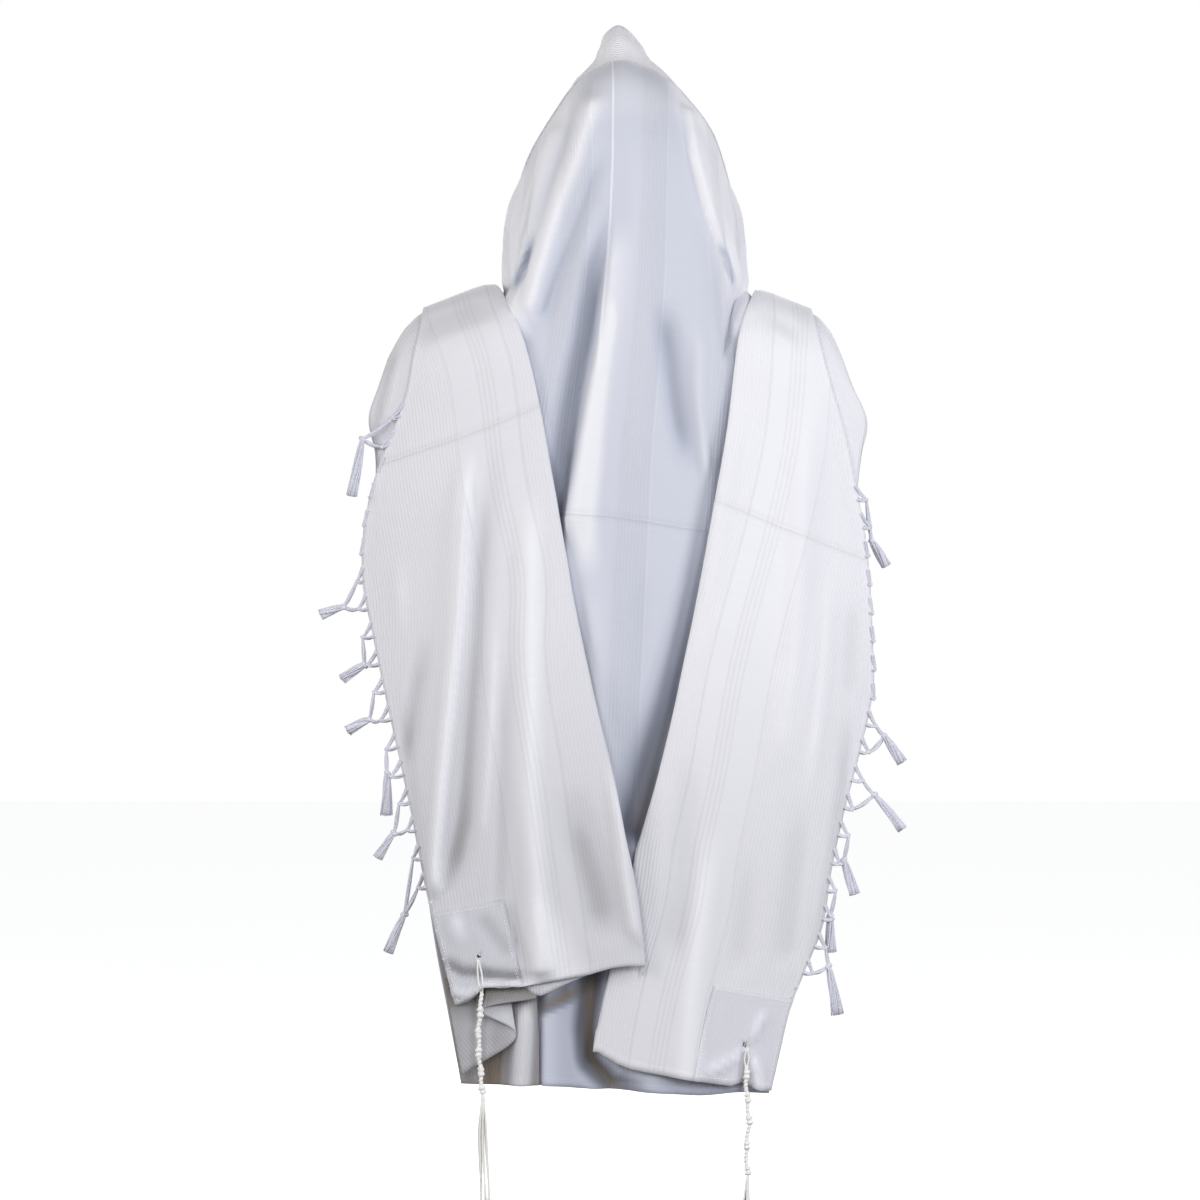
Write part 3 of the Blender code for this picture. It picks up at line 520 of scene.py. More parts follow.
def stations(places, step):
    """Places that cut every span into two or more equal parts no longer than step."""
    parts = np.maximum(np.ceil(np.diff(places) / step).astype(int), 2)
    spans = zip(places, places[1:], parts, strict=False)
    cuts = [np.linspace(a, b, n, endpoint=False) for a, b, n in spans]
    return np.concatenate([*cuts, places[-1:]])


def refined(values, guide, row_step, column_step):
    """values carried to a finer grid, spaced by the lengths of the grid of points 'guide'."""
    for grid, step in ((guide, row_step), (guide.swapaxes(0, 1), column_step)):
        places = line_places(grid)
        values = hermite(values, places, stations(places, step)).swapaxes(0, 1)
    return values


def fold_field(across, up, folds):
    """Outward height of a table of folds. One fold is a raised cosine of the distance to its
    path, with its own half width on either side, that grows from nothing at both ends."""
    height = np.zeros(across.shape)
    place = np.stack([across, up], axis=-1)[..., None, :]
    for _name, path, shape in folds:
        path = np.array(path).reshape(-1, 2) / TENTHS
        left, right, left_end, right_end, rise, begins, closes = np.array(shape) / TENTHS
        run = np.diff(path, axis=0)
        lengths = np.linalg.norm(run, axis=1)
        off = place - path[:-1]
        part = np.clip((off * run).sum(axis=-1) / lengths**2, 0.0, 1.0)
        gap = np.linalg.norm(off - part[..., None] * run, axis=-1)
        turn = run[:, 0] * off[..., 1] - run[:, 1] * off[..., 0]
        done = np.cumsum(lengths) - lengths + part * lengths
        nearest = gap.argmin(axis=-1)[..., None]
        gap, turn, done = (np.take_along_axis(v, nearest, -1)[..., 0] for v in (gap, turn, done))
        share = done / lengths.sum()
        left = left + (left_end - left) * share
        right = right + (right_end - right) * share
        grown = smooth_step(done / begins) * smooth_step((lengths.sum() - done) / closes)
        height += rise * grown * bump(gap / np.where(turn < 0, left, right))
    return height


def arc_lengths(points, axis=0):
    """Distance along each line of a grid, from its first point."""
    steps = np.linalg.norm(np.diff(points, axis=axis), axis=-1)
    start = np.zeros_like(np.take(steps, [0], axis=axis))
    return np.concatenate([start, np.cumsum(steps, axis=axis)], axis=axis)


def from_hems(points):
    """Distance along each column of a grid from its first row, and from its last."""
    down = arc_lengths(points)
    return down, down[-1] - down


def stripe_places(points, across):
    """Places across the cloth, row by row, moved and stretched so that the middle crease is 0 and
    the thin line beside it THIN_PLACE, each on its own measured line."""
    places = []
    for row, at in zip(points, across, strict=True):
        middle = np.interp(along(MIDDLE_LINE, row[:, 2].mean()), row[:, 0], at)
        thin = np.interp(along(THIN_LINE, row[:, 2].mean()), row[:, 0], at)
        places.append(np.interp(at, [middle - 1, middle, thin, thin + 1],
                                [-1, 0, THIN_PLACE, THIN_PLACE + 1]))
    return np.stack(places)


def crease_shift(points, up, line):
    """What to add to each column's height above the hem to bring the pressed crease onto a line
    of x and z."""
    above = points[..., 2] - np.interp(points[..., 0], *line.T)
    crossed = [np.interp(0.0, -a, u) for a, u in zip(above.T, up.T, strict=True)]
    return CREASE_HEIGHT - np.array(crossed)


# ---------------- meshes

CLOTH = 0.0011  # thickness of the wool
HOLE_RADIUS = 0.0022


def new_piece(name, vertices, faces, material, uv=None, values=None):
    """A mesh object at the origin, with a UV and named point values for each vertex."""
    mesh = bpy.data.meshes.new(name)
    mesh.from_pydata(vertices.tolist(), [], faces)
    if uv is not None:
        corner = np.empty(len(mesh.loops), dtype=np.int32)
        mesh.loops.foreach_get("vertex_index", corner)
        layer = mesh.uv_layers.new(name="cloth")
        layer.data.foreach_set("uv", uv[corner].astype(np.float32).ravel())
    for key, value in (values or {}).items():
        attribute = mesh.attributes.new(key, "FLOAT", "POINT")
        attribute.data.foreach_set("value", value.astype(np.float32).ravel())
    mesh.shade_smooth()
    mesh.materials.append(material)
    piece = bpy.data.objects.new(name, mesh)
    bpy.context.scene.collection.objects.link(piece)
    return piece


def declared(piece, nodes):
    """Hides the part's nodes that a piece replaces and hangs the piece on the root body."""
    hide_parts(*nodes)
    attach(piece, "root")
    return piece


def cloth_piece(name, points, across, up, material, nodes, slot="white_wool", thickness=CLOTH,
                holes=(), inside=None, **values):
    """A sheet of cloth on a grid of points, faces outward, with its places across and up the
    cloth, its thickness, a small hole at each given point and, if named, another material on its
    inner side."""
    flat = points.reshape(-1, 3)
    index = np.arange(len(flat)).reshape(points.shape[:2])
    faces = [index[:-1, :-1], index[1:, :-1], index[1:, 1:], index[:-1, 1:]]
    faces = np.stack(faces, axis=-1).reshape(-1, 4)
    for hole in holes:
        gap = np.linalg.norm(flat[faces].mean(axis=1) - hole, axis=1)
        faces = faces[gap > max(gap.min() + 1e-6, HOLE_RADIUS)]
    values = {key: np.broadcast_to(value, index.shape) for key, value in values.items()}
    uv = np.stack([across, up], axis=-1).reshape(-1, 2)
    piece = new_piece(name, flat, faces.tolist(), material, uv, values)
    shell = piece.modifiers.new("thickness", "SOLIDIFY")
    shell.thickness = thickness
    shell.offset = 0.0
    if inside is not None:
        piece.data.materials.append(inside)
        shell.material_offset = 1
    return declared(piece, nodes)


def across_path(path):
    """Two unit vectors across each point of a path, without twist jumps."""
    tangent = np.gradient(path, axis=0)
    tangent /= np.linalg.norm(tangent, axis=1, keepdims=True)
    seed = np.array([0.0, 1.0, 0.0] if abs(tangent[0, 1]) < 0.9 else [1.0, 0.0, 0.0])
    side = seed - tangent * (tangent @ seed)[:, None]
    side /= np.linalg.norm(side, axis=1, keepdims=True)
    return side, np.cross(tangent, side)


def tube_mesh(path, radii, sides):
    """Vertices, faces and UV of a closed tube: rings of given radii carried along a path, with a
    fan over each end. The UV is the share of a turn and the distance along the path."""
    side, other = across_path(path)
    turn = np.linspace(0.0, 2 * math.pi, sides, endpoint=False)
    radii = np.broadcast_to(np.asarray(radii).T, (sides, len(path))).T[..., None]
    ring = side[:, None] * np.cos(turn)[:, None] + other[:, None] * np.sin(turn)[:, None]
    rings = path[:, None] + ring * radii
    count = len(path)
    index = np.arange(count * sides).reshape(count, sides)
    after = np.roll(index, -1, axis=1)
    body = np.stack([index[:-1], after[:-1], after[1:], index[1:]], axis=-1).reshape(-1, 4)
    tip = np.full(sides, count * sides)
    start = np.stack([tip, after[0], index[0]], axis=-1)
    end = np.stack([tip + 1, index[-1], after[-1]], axis=-1)
    vertices = np.concatenate([rings.reshape(-1, 3), path[:1], path[-1:]])
    length = arc_lengths(path)
    u = np.append(np.tile(turn / (2 * math.pi), count), [0.0, 0.0])
    v = np.append(np.repeat(length, sides), [0.0, length[-1]])
    return vertices, body, np.concatenate([start, end]), np.stack([u, v], axis=1)


def twine_piece(name, tubes, material, node):
    """Several tubes as one piece."""
    faces, count = [], 0
    for vertices, quads, triangles, _uv in tubes:
        faces += (quads + count).tolist() + (triangles + count).tolist()
        count += len(vertices)
    vertices, _quads, _triangles, uv = zip(*tubes, strict=True)
    piece = new_piece(name, np.concatenate(vertices), faces, material, np.concatenate(uv))
    return declared(piece, [node])


# ---------------- materials

# sRGB colours of bleached cloth and yarn
WOOL_FULL = "f4f3f8"  # wool over more wool, and the painted light of ridges
WOOL_THIN_AND_SHADED = "9ca7bf"  # a single layer over the dark behind it, and the painted shade of troughs and contact places
WOOL_THICK_AND_SHADED = "a7a7ae"  # the same in the heavier cloth of the ends
WOOL_DEEP_SHADE = "7f756a"  # painted shade deep in hollows between two layers
SATIN_WHITE = "fcfafe"
COTTON_WHITE = "e9e9f1"
YARN_WHITE = "e3e3ee"
CORD_WHITE = "fcfaf6"

RIB_PITCH = 0.0040  # cut 3.2 mm apart, drawn coarser so that they show
THREAD_PITCH = 0.0018  # 0.5 mm apart, drawn coarser so that they show
LINE_HALF = 0.0009  # half width of a woven satin line
# Heights in the weave, in millimetres
RIB_HEIGHT, SATIN_HEIGHT, WEAVE_HEIGHT, SLUB_HEIGHT = 0.24, 0.22, 0.02, 0.08
CROSS_CREASE, HEM_HEIGHT, SELVEDGE_HEIGHT, MIDDLE_CREASE_HEIGHT = 0.9, 0.35, 0.14, 0.5
STREAKS = (28.0, 560.0, 1.0)  # uneven threads, to the metre across and along them
CREASE_STARTS = (0.80, 0.88)  # height above the hem over which the middle crease sets in


def linear(code):
    """Linear colour of an sRGB hex code."""
    values = [int(code[i : i + 2], 16) / 255 for i in (0, 2, 4)]
    return [v / 12.92 if v <= 0.04045 else ((v + 0.055) / 1.055) ** 2.4 for v in values] + [1.0]


def add_node(tree, kind, inputs=None, **settings):
    """Adds one node and gives its outputs. inputs names or numbers its sockets, each with a
    value or the output that feeds it."""
    made = tree.nodes.new("ShaderNode" + kind)
    for key, value in settings.items():
        setattr(made, key, value)
    for key, value in (inputs or {}).items():
        if isinstance(value, bpy.types.NodeSocket):
            tree.links.new(value, made.inputs[key])
        else:
            made.inputs[key].default_value = value
    return made.outputs


def total(tree, start, *products):
    """start plus each product of two values."""
    for one, other in products:
        terms = {0: one, 1: other, 2: start}
        start = add_node(tree, "Math", terms, operation="MULTIPLY_ADD")[0]
    return start


def waves(tree, place, pitch):
    """Cosine along a place, from 0 to 1, once every pitch."""
    turn = total(tree, 0.0, (place, 2 * math.pi / pitch))
    return total(tree, 0.5, (add_node(tree, "Math", {0: turn}, operation="COSINE")[0], 0.5))


def profile(tree, place, steps):
    """A value read along 'place' from a table of place and value, straight between its rows."""
    low, high = steps[0][0], steps[-1][0]
    share = add_node(tree, "MapRange", {"Value": place, "From Min": low, "From Max": high})[0]
    ramp = add_node(tree, "ValToRGB", {"Fac": share})[0]
    stops = ramp.node.color_ramp.elements
    for index, (at, value) in enumerate(steps):
        where = (at - low) / (high - low)
        stop = stops[index] if index < 2 else stops.new(where)
        stop.position = where
        stop.color = (value, value, value, 1.0)
    return ramp


def lines(low, places, high, half_width=LINE_HALF):
    """Steps of a profile from low to high: 0, with a narrow line of 1 at each place."""
    steps = [(low, 0.0)]
    for at in places:
        steps += [(at + side * half_width, value)
                  for side, value in ((-1.6, 0.0), (-1, 1.0), (1, 1.0), (1.6, 0.0))]
    return [*steps, (high, 0.0)]


def cloth_material(name, roughness, sheen):
    """A material with its shader's even values, its tree, the cloth's own UV and the UV's two
    parts: distance across the stripes and up from the hem, in metres."""
    material = bpy.data.materials.new(name)
    material.use_nodes = True
    tree = material.node_tree
    inputs = tree.nodes["Principled BSDF"].inputs
    for key, value in (("Roughness", roughness), ("Sheen Weight", sheen),
                       ("Sheen Roughness", 0.4), ("Specular IOR Level", 0.3)):
        inputs[key].default_value = value
    uv = add_node(tree, "UVMap", uv_map="cloth")[0]
    parts = add_node(tree, "SeparateXYZ", {0: uv})
    return material, tree, uv, parts[0], parts[1]


def coated(material, ground, shade, height):
    """A material whose colour is the ground times a shade of grey, over a height in mm."""
    tree = material.node_tree
    shader = tree.nodes["Principled BSDF"].inputs
    tint = add_node(tree, "CombineColor", {0: shade, 1: shade, 2: shade})[0]
    colour = add_node(tree, "Mix", {"Factor": 1.0, 6: ground, 7: tint},
                      data_type="RGBA", blend_type="MULTIPLY")[2]
    relief = add_node(tree, "Bump", {"Height": height, "Strength": 1.0, "Distance": 0.001})[0]
    tree.links.new(colour, shader["Base Color"])
    tree.links.new(relief, shader["Normal"])
    return material


CREASE_PROFILE = (
    (0.615, 0.5), (0.627, 0.5), (0.6325, 0.25), (0.635, 0.95), (0.6375, 0.25), (0.643, 0.5),
    (0.655, 0.5),
)
HEM_PROFILE = ((0.0, 1.0), (0.0085, 1.0), (0.0092, 0.2), (0.0105, 0.0), (0.05, 0.0))
SELVEDGE_PROFILE = (
    (0.0, 1.0), (0.004, 1.0), (0.005, 0.0), *lines(0.0, (0.010, 0.015, 0.020), 0.05)[1:],
)
PRESSED_PROFILE = lines(-0.05, (0.0,), 0.05, 0.0014)
# Stripes of each wool: period, share of ribs and of satin by place, tone of ribs and of satin,
# share of the pressed crease down the middle
END_STRIPES = (
    None,
    ((-0.045, 1.0), (-0.033, 1.0), (-0.031, 0.0), (0.041, 0.0), (0.043, 1.0), (0.045, 1.0)),
    lines(-0.045, (-0.0320, -0.0086, -0.0029, 0.0029, 0.0086, 0.042), 0.045),
    -0.03, -0.05, 0.0,
)
MIDDLE_STRIPES = (
    0.103, ((0.0, 0.0), (0.036, 0.0), (0.043, 1.0), (0.075, 1.0), (0.081, 0.0), (0.103, 0.0)),
    lines(0.0, (0.078,), 0.103), -0.06, 0.06, 1.0,
)


def wool(name, thin, stripes, depth="layers"):
    """Fine worsted wool in a plain weave, with stripes of ribs and satin lines along the warp.
    Matt with a faint bloom. It is whiter the more layers of cloth lie together, and that share also
    carries painted shade in troughs and hollows and painted light on ridges."""
    material, tree, uv, across, up = cloth_material(name, 0.82, 0.40)
    period, ribbed, satin, rib_tone, satin_tone, crease_share = stripes
    place = across
    if period:
        place = add_node(tree, "Math", {0: across, 1: period, 2: 0.0}, operation="WRAP")[0]
    rib_share = profile(tree, place, ribbed)
    satin_share = profile(tree, place, satin)
    rib = total(tree, 0.0, (waves(tree, across, RIB_PITCH), rib_share))
    weave = total(tree, 0.0, (waves(tree, across, THREAD_PITCH), waves(tree, up, THREAD_PITCH)))
    streaks = add_node(tree, "Mapping", {"Vector": uv, "Scale": STREAKS})[0]
    slub = add_node(tree, "TexNoise", {"Vector": streaks, "Scale": 1.0, "Detail": 2.0})["Fac"]
    patches = add_node(tree, "TexNoise", {"Vector": uv, "Scale": 9.0, "Detail": 3.0})["Fac"]
    to_hem, to_edge, layers = (
        add_node(tree, "Attribute", attribute_name=key)["Fac"] for key in ("hem", "edge", depth)
    )
    crease = total(tree, -0.5, (profile(tree, up, CREASE_PROFILE), 1.0))
    low, high = CREASE_STARTS
    reach = add_node(tree, "MapRange", {"Value": up, "From Min": low, "From Max": high,
                                        "To Max": crease_share})[0]
    pressed_and_painted = total(tree, 0.0, (profile(tree, across, PRESSED_PROFILE), reach))
    height = total(
        tree, 0.0, (rib, RIB_HEIGHT), (satin_share, SATIN_HEIGHT), (weave, WEAVE_HEIGHT),
        (slub, SLUB_HEIGHT), (crease, CROSS_CREASE),
        (profile(tree, to_hem, HEM_PROFILE), HEM_HEIGHT),
        (profile(tree, to_edge, SELVEDGE_PROFILE), SELVEDGE_HEIGHT),
        (pressed_and_painted, MIDDLE_CREASE_HEIGHT),
    )
    # Colour: the single-layer tone, mixed towards full white by the share of layers, which also
    # carries painted shade and painted light, and towards the deep painted shade where that share
    # falls below 0.45
    ground = linear(thin)
    deep_shade = total(tree, 0.45, (layers, -1.0))
    for share, colour in ((layers, WOOL_FULL), (deep_shade, WOOL_DEEP_SHADE)):
        ground = add_node(tree, "Mix", {"Factor": share, 6: ground, 7: linear(colour)},
                          data_type="RGBA")[2]
    # Shade: random patches, slubs and the stripes' own tones, with painted light on rib crests, a
    # painted highlight on the middle crease and painted shade on the cross crease
    crease_shade = add_node(tree, "Math", {0: crease}, operation="ABSOLUTE")[0]
    shade = total(
        tree, 0.93, (patches, 0.03), (slub, 0.06), (rib, 0.035), (rib_share, rib_tone),
        (satin_share, satin_tone), (pressed_and_painted, 0.24), (crease_shade, -0.16),
    )
    return coated(material, ground, shade, height)


def plain_cloth(name, roughness, colour, line_pitch, line_height, upright=False):
    """Neckband satin and corner cotton: fine lines along the piece, or upright, over a fine even
    weave. Both have a soft sheen, the satin more than the cotton. A point value darkens the corner
    squares with painted shade."""
    material, tree, uv, across, up = cloth_material(name, roughness, 0.2)
    weave = total(tree, 0.0, (waves(tree, across, THREAD_PITCH), waves(tree, up, THREAD_PITCH)))
    line = waves(tree, across if upright else up, line_pitch)
    noise = add_node(tree, "TexNoise", {"Vector": uv, "Scale": 60.0, "Detail": 3.0})["Fac"]
    # Painted shade, from a point value given on the corner squares
    thin = add_node(tree, "Attribute", attribute_name="thin")["Fac"]
    height = total(tree, 0.0, (line, line_height), (weave, 0.03), (noise, 0.25))
    shade = total(tree, 0.96, (noise, 0.03), (line, 0.25 * line_height), (thin, -0.12))
    return coated(material, linear(colour), shade, height)


def yarn(name, colour, ply_pitch):
    """Plied wool yarn, matt with a soft edge: the UV's turn and length wind the plies round it as
    a slanting wave."""
    material, tree, uv, turn, length = cloth_material(name, 0.9, 0.3)
    ply = waves(tree, total(tree, turn, (length, 1.0 / ply_pitch)), 1.0)
    hairs = add_node(tree, "TexNoise", {"Vector": uv, "Scale": 400.0, "Detail": 2.0})["Fac"]
    height = total(tree, 0.0, (ply, 0.15), (hairs, 0.08))
    # Painted shade in the grooves between the plies
    return coated(material, linear(colour), total(tree, 0.95, (ply, 0.05)), height)


ends_wool = wool("ribbed_worsted_wool", WOOL_THICK_AND_SHADED, END_STRIPES)
middle_wool = wool("banded_worsted_wool", WOOL_THIN_AND_SHADED, MIDDLE_STRIPES)
# Its inner side reads only the single-layer share, with its painted shade down the back and painted
# light on the crown
inner_wool = wool("banded_wool_inner_side", WOOL_THIN_AND_SHADED, MIDDLE_STRIPES, "bare")
# Lines of the satin and the cotton are drawn coarser than cut, so that they show
neckband_satin = plain_cloth("neckband_satin", 0.55, SATIN_WHITE, 0.0034, 0.5)
corner_cotton = plain_cloth("corner_cotton", 0.75, COTTON_WHITE, 0.0032, 0.16, upright=True)
fringe_yarn = yarn("fringe_yarn", YARN_WHITE, 0.004)
tassel_yarn = yarn("tassel_yarn", CORD_WHITE, 0.003)

# ---------------- camera, cords first

CAMERA_PLACE = (-0.019, -4.65, -0.6408)
CAMERA_DISTANCE = 4.5
FRAME_SPAN = 1.3776  # width that the frame takes in at that distance
SENSOR_WIDTH = 36.0

camera_data = bpy.data.cameras.new("camera")
camera_data.sensor_width = SENSOR_WIDTH
camera_data.lens = SENSOR_WIDTH * CAMERA_DISTANCE / FRAME_SPAN
camera = bpy.data.objects.new("camera", camera_data)
camera.location = CAMERA_PLACE
camera.rotation_euler = (math.pi / 2, 0.0, 0.0)
bpy.context.scene.collection.objects.link(camera)
bpy.context.scene.camera = camera

SEED = 7
DOWN = np.array([0.0, 0.0, -1.0])
draws = np.random.default_rng(SEED)

# The wound cord of each tzitzit from its eyelet over the hem and down, and its free strands
TASSEL_ROUTES = {
    "back_left": (
        ((-1585, -1647, -10530), (-1560, -1654, -10740), (-1545, -1660, -10940),
         (-1565, -1664, -11140), (-1580, -1664, -11400), (-1570, -1664, -11660),
         (-1530, -1664, -12060)),
        ((-1530, -1664, -12068), (-1525, -1664, -12600), (-1500, -1664, -13200),
         (-1510, -1664, -13800), (-1500, -1664, -14420)),
    ),
    "back_right": (
        ((1498, -1514, -11570), (1490, -1516, -11770), (1488, -1519, -11980), (1505, -1524, -12200),
         (1520, -1524, -12430), (1488, -1524, -12710), (1505, -1524, -13010)),
        ((1505, -1524, -13018), (1480, -1524, -13500), (1455, -1524, -14100), (1470, -1524, -14700),
         (1460, -1524, -15370)),
    ),
    "front_left": (
        ((-2150, 1256, -5960), (-2140, 1261, -6160), (-2130, 1265, -6380), (-2125, 1270, -6620),
         (-2115, 1270, -6900), (-2128, 1270, -7180), (-2120, 1270, -7460)),
        ((-2120, 1270, -7468), (-2115, 1270, -8000), (-2130, 1270, -8600), (-2120, 1270, -9200),
         (-2130, 1270, -9820)),
    ),
    "front_right": (
        ((2180, 1238, -5010), (2168, 1243, -5210), (2158, 1248, -5430), (2150, 1253, -5670),
         (2162, 1253, -5940), (2148, 1253, -6220), (2155, 1253, -6500)),
        ((2155, 1253, -6508), (2150, 1253, -7050), (2165, 1253, -7650), (2158, 1253, -8250),
         (2165, 1253, -8860)),
    ),
}
# Share of a wound cord that is still two loose strands, then the places of its double knots
KNOTS = {
    "left": (0.25, (0.39, 0.55, 0.69, 0.83, 0.975)),
    "right": (0.13, (0.20, 0.38, 0.56, 0.76, 0.965)),
}
KNOT_HALF = 0.026  # half length of a knot, as a share of the cord
CORD_RADIUS = 0.0023  # of the wound part between its knots
WINDING_PITCH, WINDING_HEIGHT = 0.0016, 0.0004
STRAND_COUNT, STRAND_RADIUS = 8, 0.0011
LOOSE_RADIUS = 0.00095  # of the two strands before they are wound


def wound_cord(route, loose, knots):
    """The wound part of a corner tassel: two strands that part and meet again below the hem, then
    a core with a helical winding, and a double knot, two uneven lobes long, at each knot place."""
    path = smooth_route(route, 230)
    share = np.linspace(0.0, 1.0, len(path))
    sides = 14
    radius = np.full(len(path), CORD_RADIUS)
    for place in knots:
        for off in (-0.018, 0.018):
            size = draws.uniform(0.0013, 0.0022)
            radius += size * bump((share - place - off + draws.uniform(-0.004, 0.004)) / KNOT_HALF)
    sway = 0.0007 * np.sin(share * 31.0 + draws.uniform(0, 6, 2)[0])
    path_length = arc_lengths(path)[-1]
    path[:, 0] += sway * smooth_step((share - loose) / 0.05)
    turn = np.linspace(0.0, 2 * math.pi, sides, endpoint=False)
    helix = np.cos(turn - 2 * math.pi * share[:, None] * path_length / WINDING_PITCH / 3)
    radii = radius[:, None] + WINDING_HEIGHT * helix
    radii[-1] *= 0.5
    first = int(loose * len(path))
    tubes = [tube_mesh(path[first:], radii[first:], sides)]
    for way in (-1, 1):
        strand = path[: first + 3].copy()
        strand[:, 0] += way * 0.0024 * np.sin(math.pi * np.linspace(0.06, 0.92, len(strand)))
        tubes.append(tube_mesh(strand, LOOSE_RADIUS, 8))
    return path, tubes


def free_strands(route):
    """Free strands that leave the last knot together and hang, each with its own sway."""
    path = smooth_route(route, 60)
    share = np.linspace(0.0, 1.0, len(path))
    tubes = []
    for number in range(STRAND_COUNT):
        angle = 2 * math.pi * number / STRAND_COUNT + draws.uniform(-0.25, 0.25)
        spread = 0.0013 + (draws.uniform(0.0042, 0.0058) - 0.0013) * smooth_step(share / 0.2)
        sway = draws.uniform(0.5, 1.4) * np.sin(share * draws.uniform(3, 7) + draws.uniform(0, 6))
        turned = angle + sway * share
        strand = path.copy()
        strand[:, 0] += np.cos(turned) * spread
        strand[:, 1] += np.sin(turned) * spread * 0.8
        cut = len(path) if number % 3 == 0 else int(len(path) * draws.uniform(0.93, 1.0))
        tubes.append(tube_mesh(strand[:cut], STRAND_RADIUS, 6))
    return path, tubes


# Piece, node, diameter, far end, stiffness and spacing of the path's points
TASSEL_PARTS = (
    ("wound", "cord", 0.0065, "knot", "medium", 4),
    ("strands", "strands", 0.012, "bare", "limp", 1),
)
for corner, routes in TASSEL_ROUTES.items():
    for part, route in zip(TASSEL_PARTS, routes, strict=True):
        kind, node, diameter, far_end, stiffness, spacing = part
        route = np.array(route) / TENTHS
        if kind == "wound":
            path, tubes = wound_cord(route, *KNOTS[corner.split("_")[1]])
        else:
            path, tubes = free_strands(route)
        piece = twine_piece(f"tassel_{corner}_{kind}", tubes, tassel_yarn,
                            f"tzitzit_{corner}_{node}")

# ---------------- the middle stretch

MIDDLE_HANGS = 0.0065  # its hem hangs this much lower than the part's
# Share of full white of a single layer, with painted shade further down the back and painted light
# on the crown
BARE, SHADE_DOWN_BACK, LIGHT_ON_CROWN = 0.56, -0.24, 0.16
# What a metre of fold height adds to the share as painted light on ridges and takes from it as
# painted shade in troughs, and the extra painted shade of deep troughs
MIDDLE_TONE, MIDDLE_EASE = 22, 18

middle_base = middle_stretch()
middle = refined(middle_base, middle_base, *MIDDLE_STEPS)
for way, kept in ((-1, 1), (1, 2)):
    narrowed = PEAK_AXIS + (middle[..., 0] - PEAK_AXIS) * along(PEAK[:, [0, kept]], middle[..., 2])
    middle[..., 0] = np.where((middle[..., 0] - PEAK_AXIS) * way > 0, narrowed, middle[..., 0])
to_hem = arc_lengths(middle[::-1])[::-1]
lower = smooth_step(1 - to_hem / 0.09) * smooth_step((0.15 - middle[..., 0]) / 0.06)
middle[..., 2] -= MIDDLE_HANGS * lower
unfolded = middle.copy()
x, y, z = np.moveaxis(unfolded, -1, 0)
behind = smooth_step((-0.005 - y) / 0.035)
height = fold_field(x, z, MIDDLE_FOLDS) * behind
side_height = np.zeros(height.shape)
for side in (-1, 1):
    beside = smooth_step((side * x - 0.06) / 0.03) * smooth_step((y + 0.10) / 0.05)
    side_height += beside * fold_field(y, z, SIDE_FOLDS[side])
middle = middle + normals(middle) * (height + side_height)[..., None]

# The material's shares: whiter where layers of cloth lie together, with painted light on ridges and
# on the hood's turned sides, and darker with painted shade in troughs, contact places and down the
# back
x, z = middle[..., 0], middle[..., 2]
middle_across = stripe_places(unfolded, arc_lengths(unfolded, 1))
_down, up = from_hems(middle)
low_part = slice(middle.shape[0] // 3, None)
shift = crease_shift(middle[low_part], up[low_part], MIDDLE_CREASE)
# Painted light on the ridges, and whiter where the right lap lies double
doubled_and_ridge_light = fold_field(x, z, MIDDLE_DOUBLED_AND_LIT) * behind * 1.6
# Painted light on the hood's sides where they turn away
painted_side_light = smooth_step((np.abs(normals(unfolded)[..., 0]) - 0.45) / 0.35)
painted_side_light = 0.7 * painted_side_light * smooth_step((z + 0.36) / 0.10)
# Painted shade further down the back and painted light on the crown
bare = BARE + SHADE_DOWN_BACK * smooth_step((-0.70 - z) / 0.35)
bare += LIGHT_ON_CROWN * smooth_step((z + 0.10) / 0.05)
# Painted shade where the cloth lies in against another layer and in troughs by fold height, and
# painted light on ridges
painted_contact_shade = fold_field(x, z, MIDDLE_PAINTED_SHADE) * behind
sunk = MIDDLE_EASE * np.clip(-height - 0.012, 0.0, None) - MIDDLE_TONE * height + painted_contact_shade
layers = np.clip(bare + 0.5 * np.maximum(doubled_and_ridge_light * 0.6, painted_side_light) - sunk, -1.0, 1.0)
middle_piece = cloth_piece(
    "hood_and_back", middle, middle_across, up + shift, middle_wool, ["hood", "back_panel"],
    inside=inner_wool, layers=layers, bare=bare, edge=1.0, hem=up,
)

# ---------------- the thrown ends

FOLD_RISE = 0.0036  # an end's folded edge stands this far off the layer below it
TROUGH_FREE = 0.0022  # its troughs are as deep as they look down to here,
TROUGH_LEFT = 0.0020  # and this much deeper at most, where they stop at the layer beneath
END_WHITE_SHARE = {-1: 0.80, 1: 1.0}  # share of full white of each end near the shoulder, the left end darker with painted shade,
END_BACK = -0.22  # and the painted shade added further down the back
END_TONE, END_EASE = 30, 15  # as for the middle stretch
EYELETS = {-1: (-0.1586, -0.162, -1.0505), 1: (0.1494, -0.149, -1.1541)}  # behind


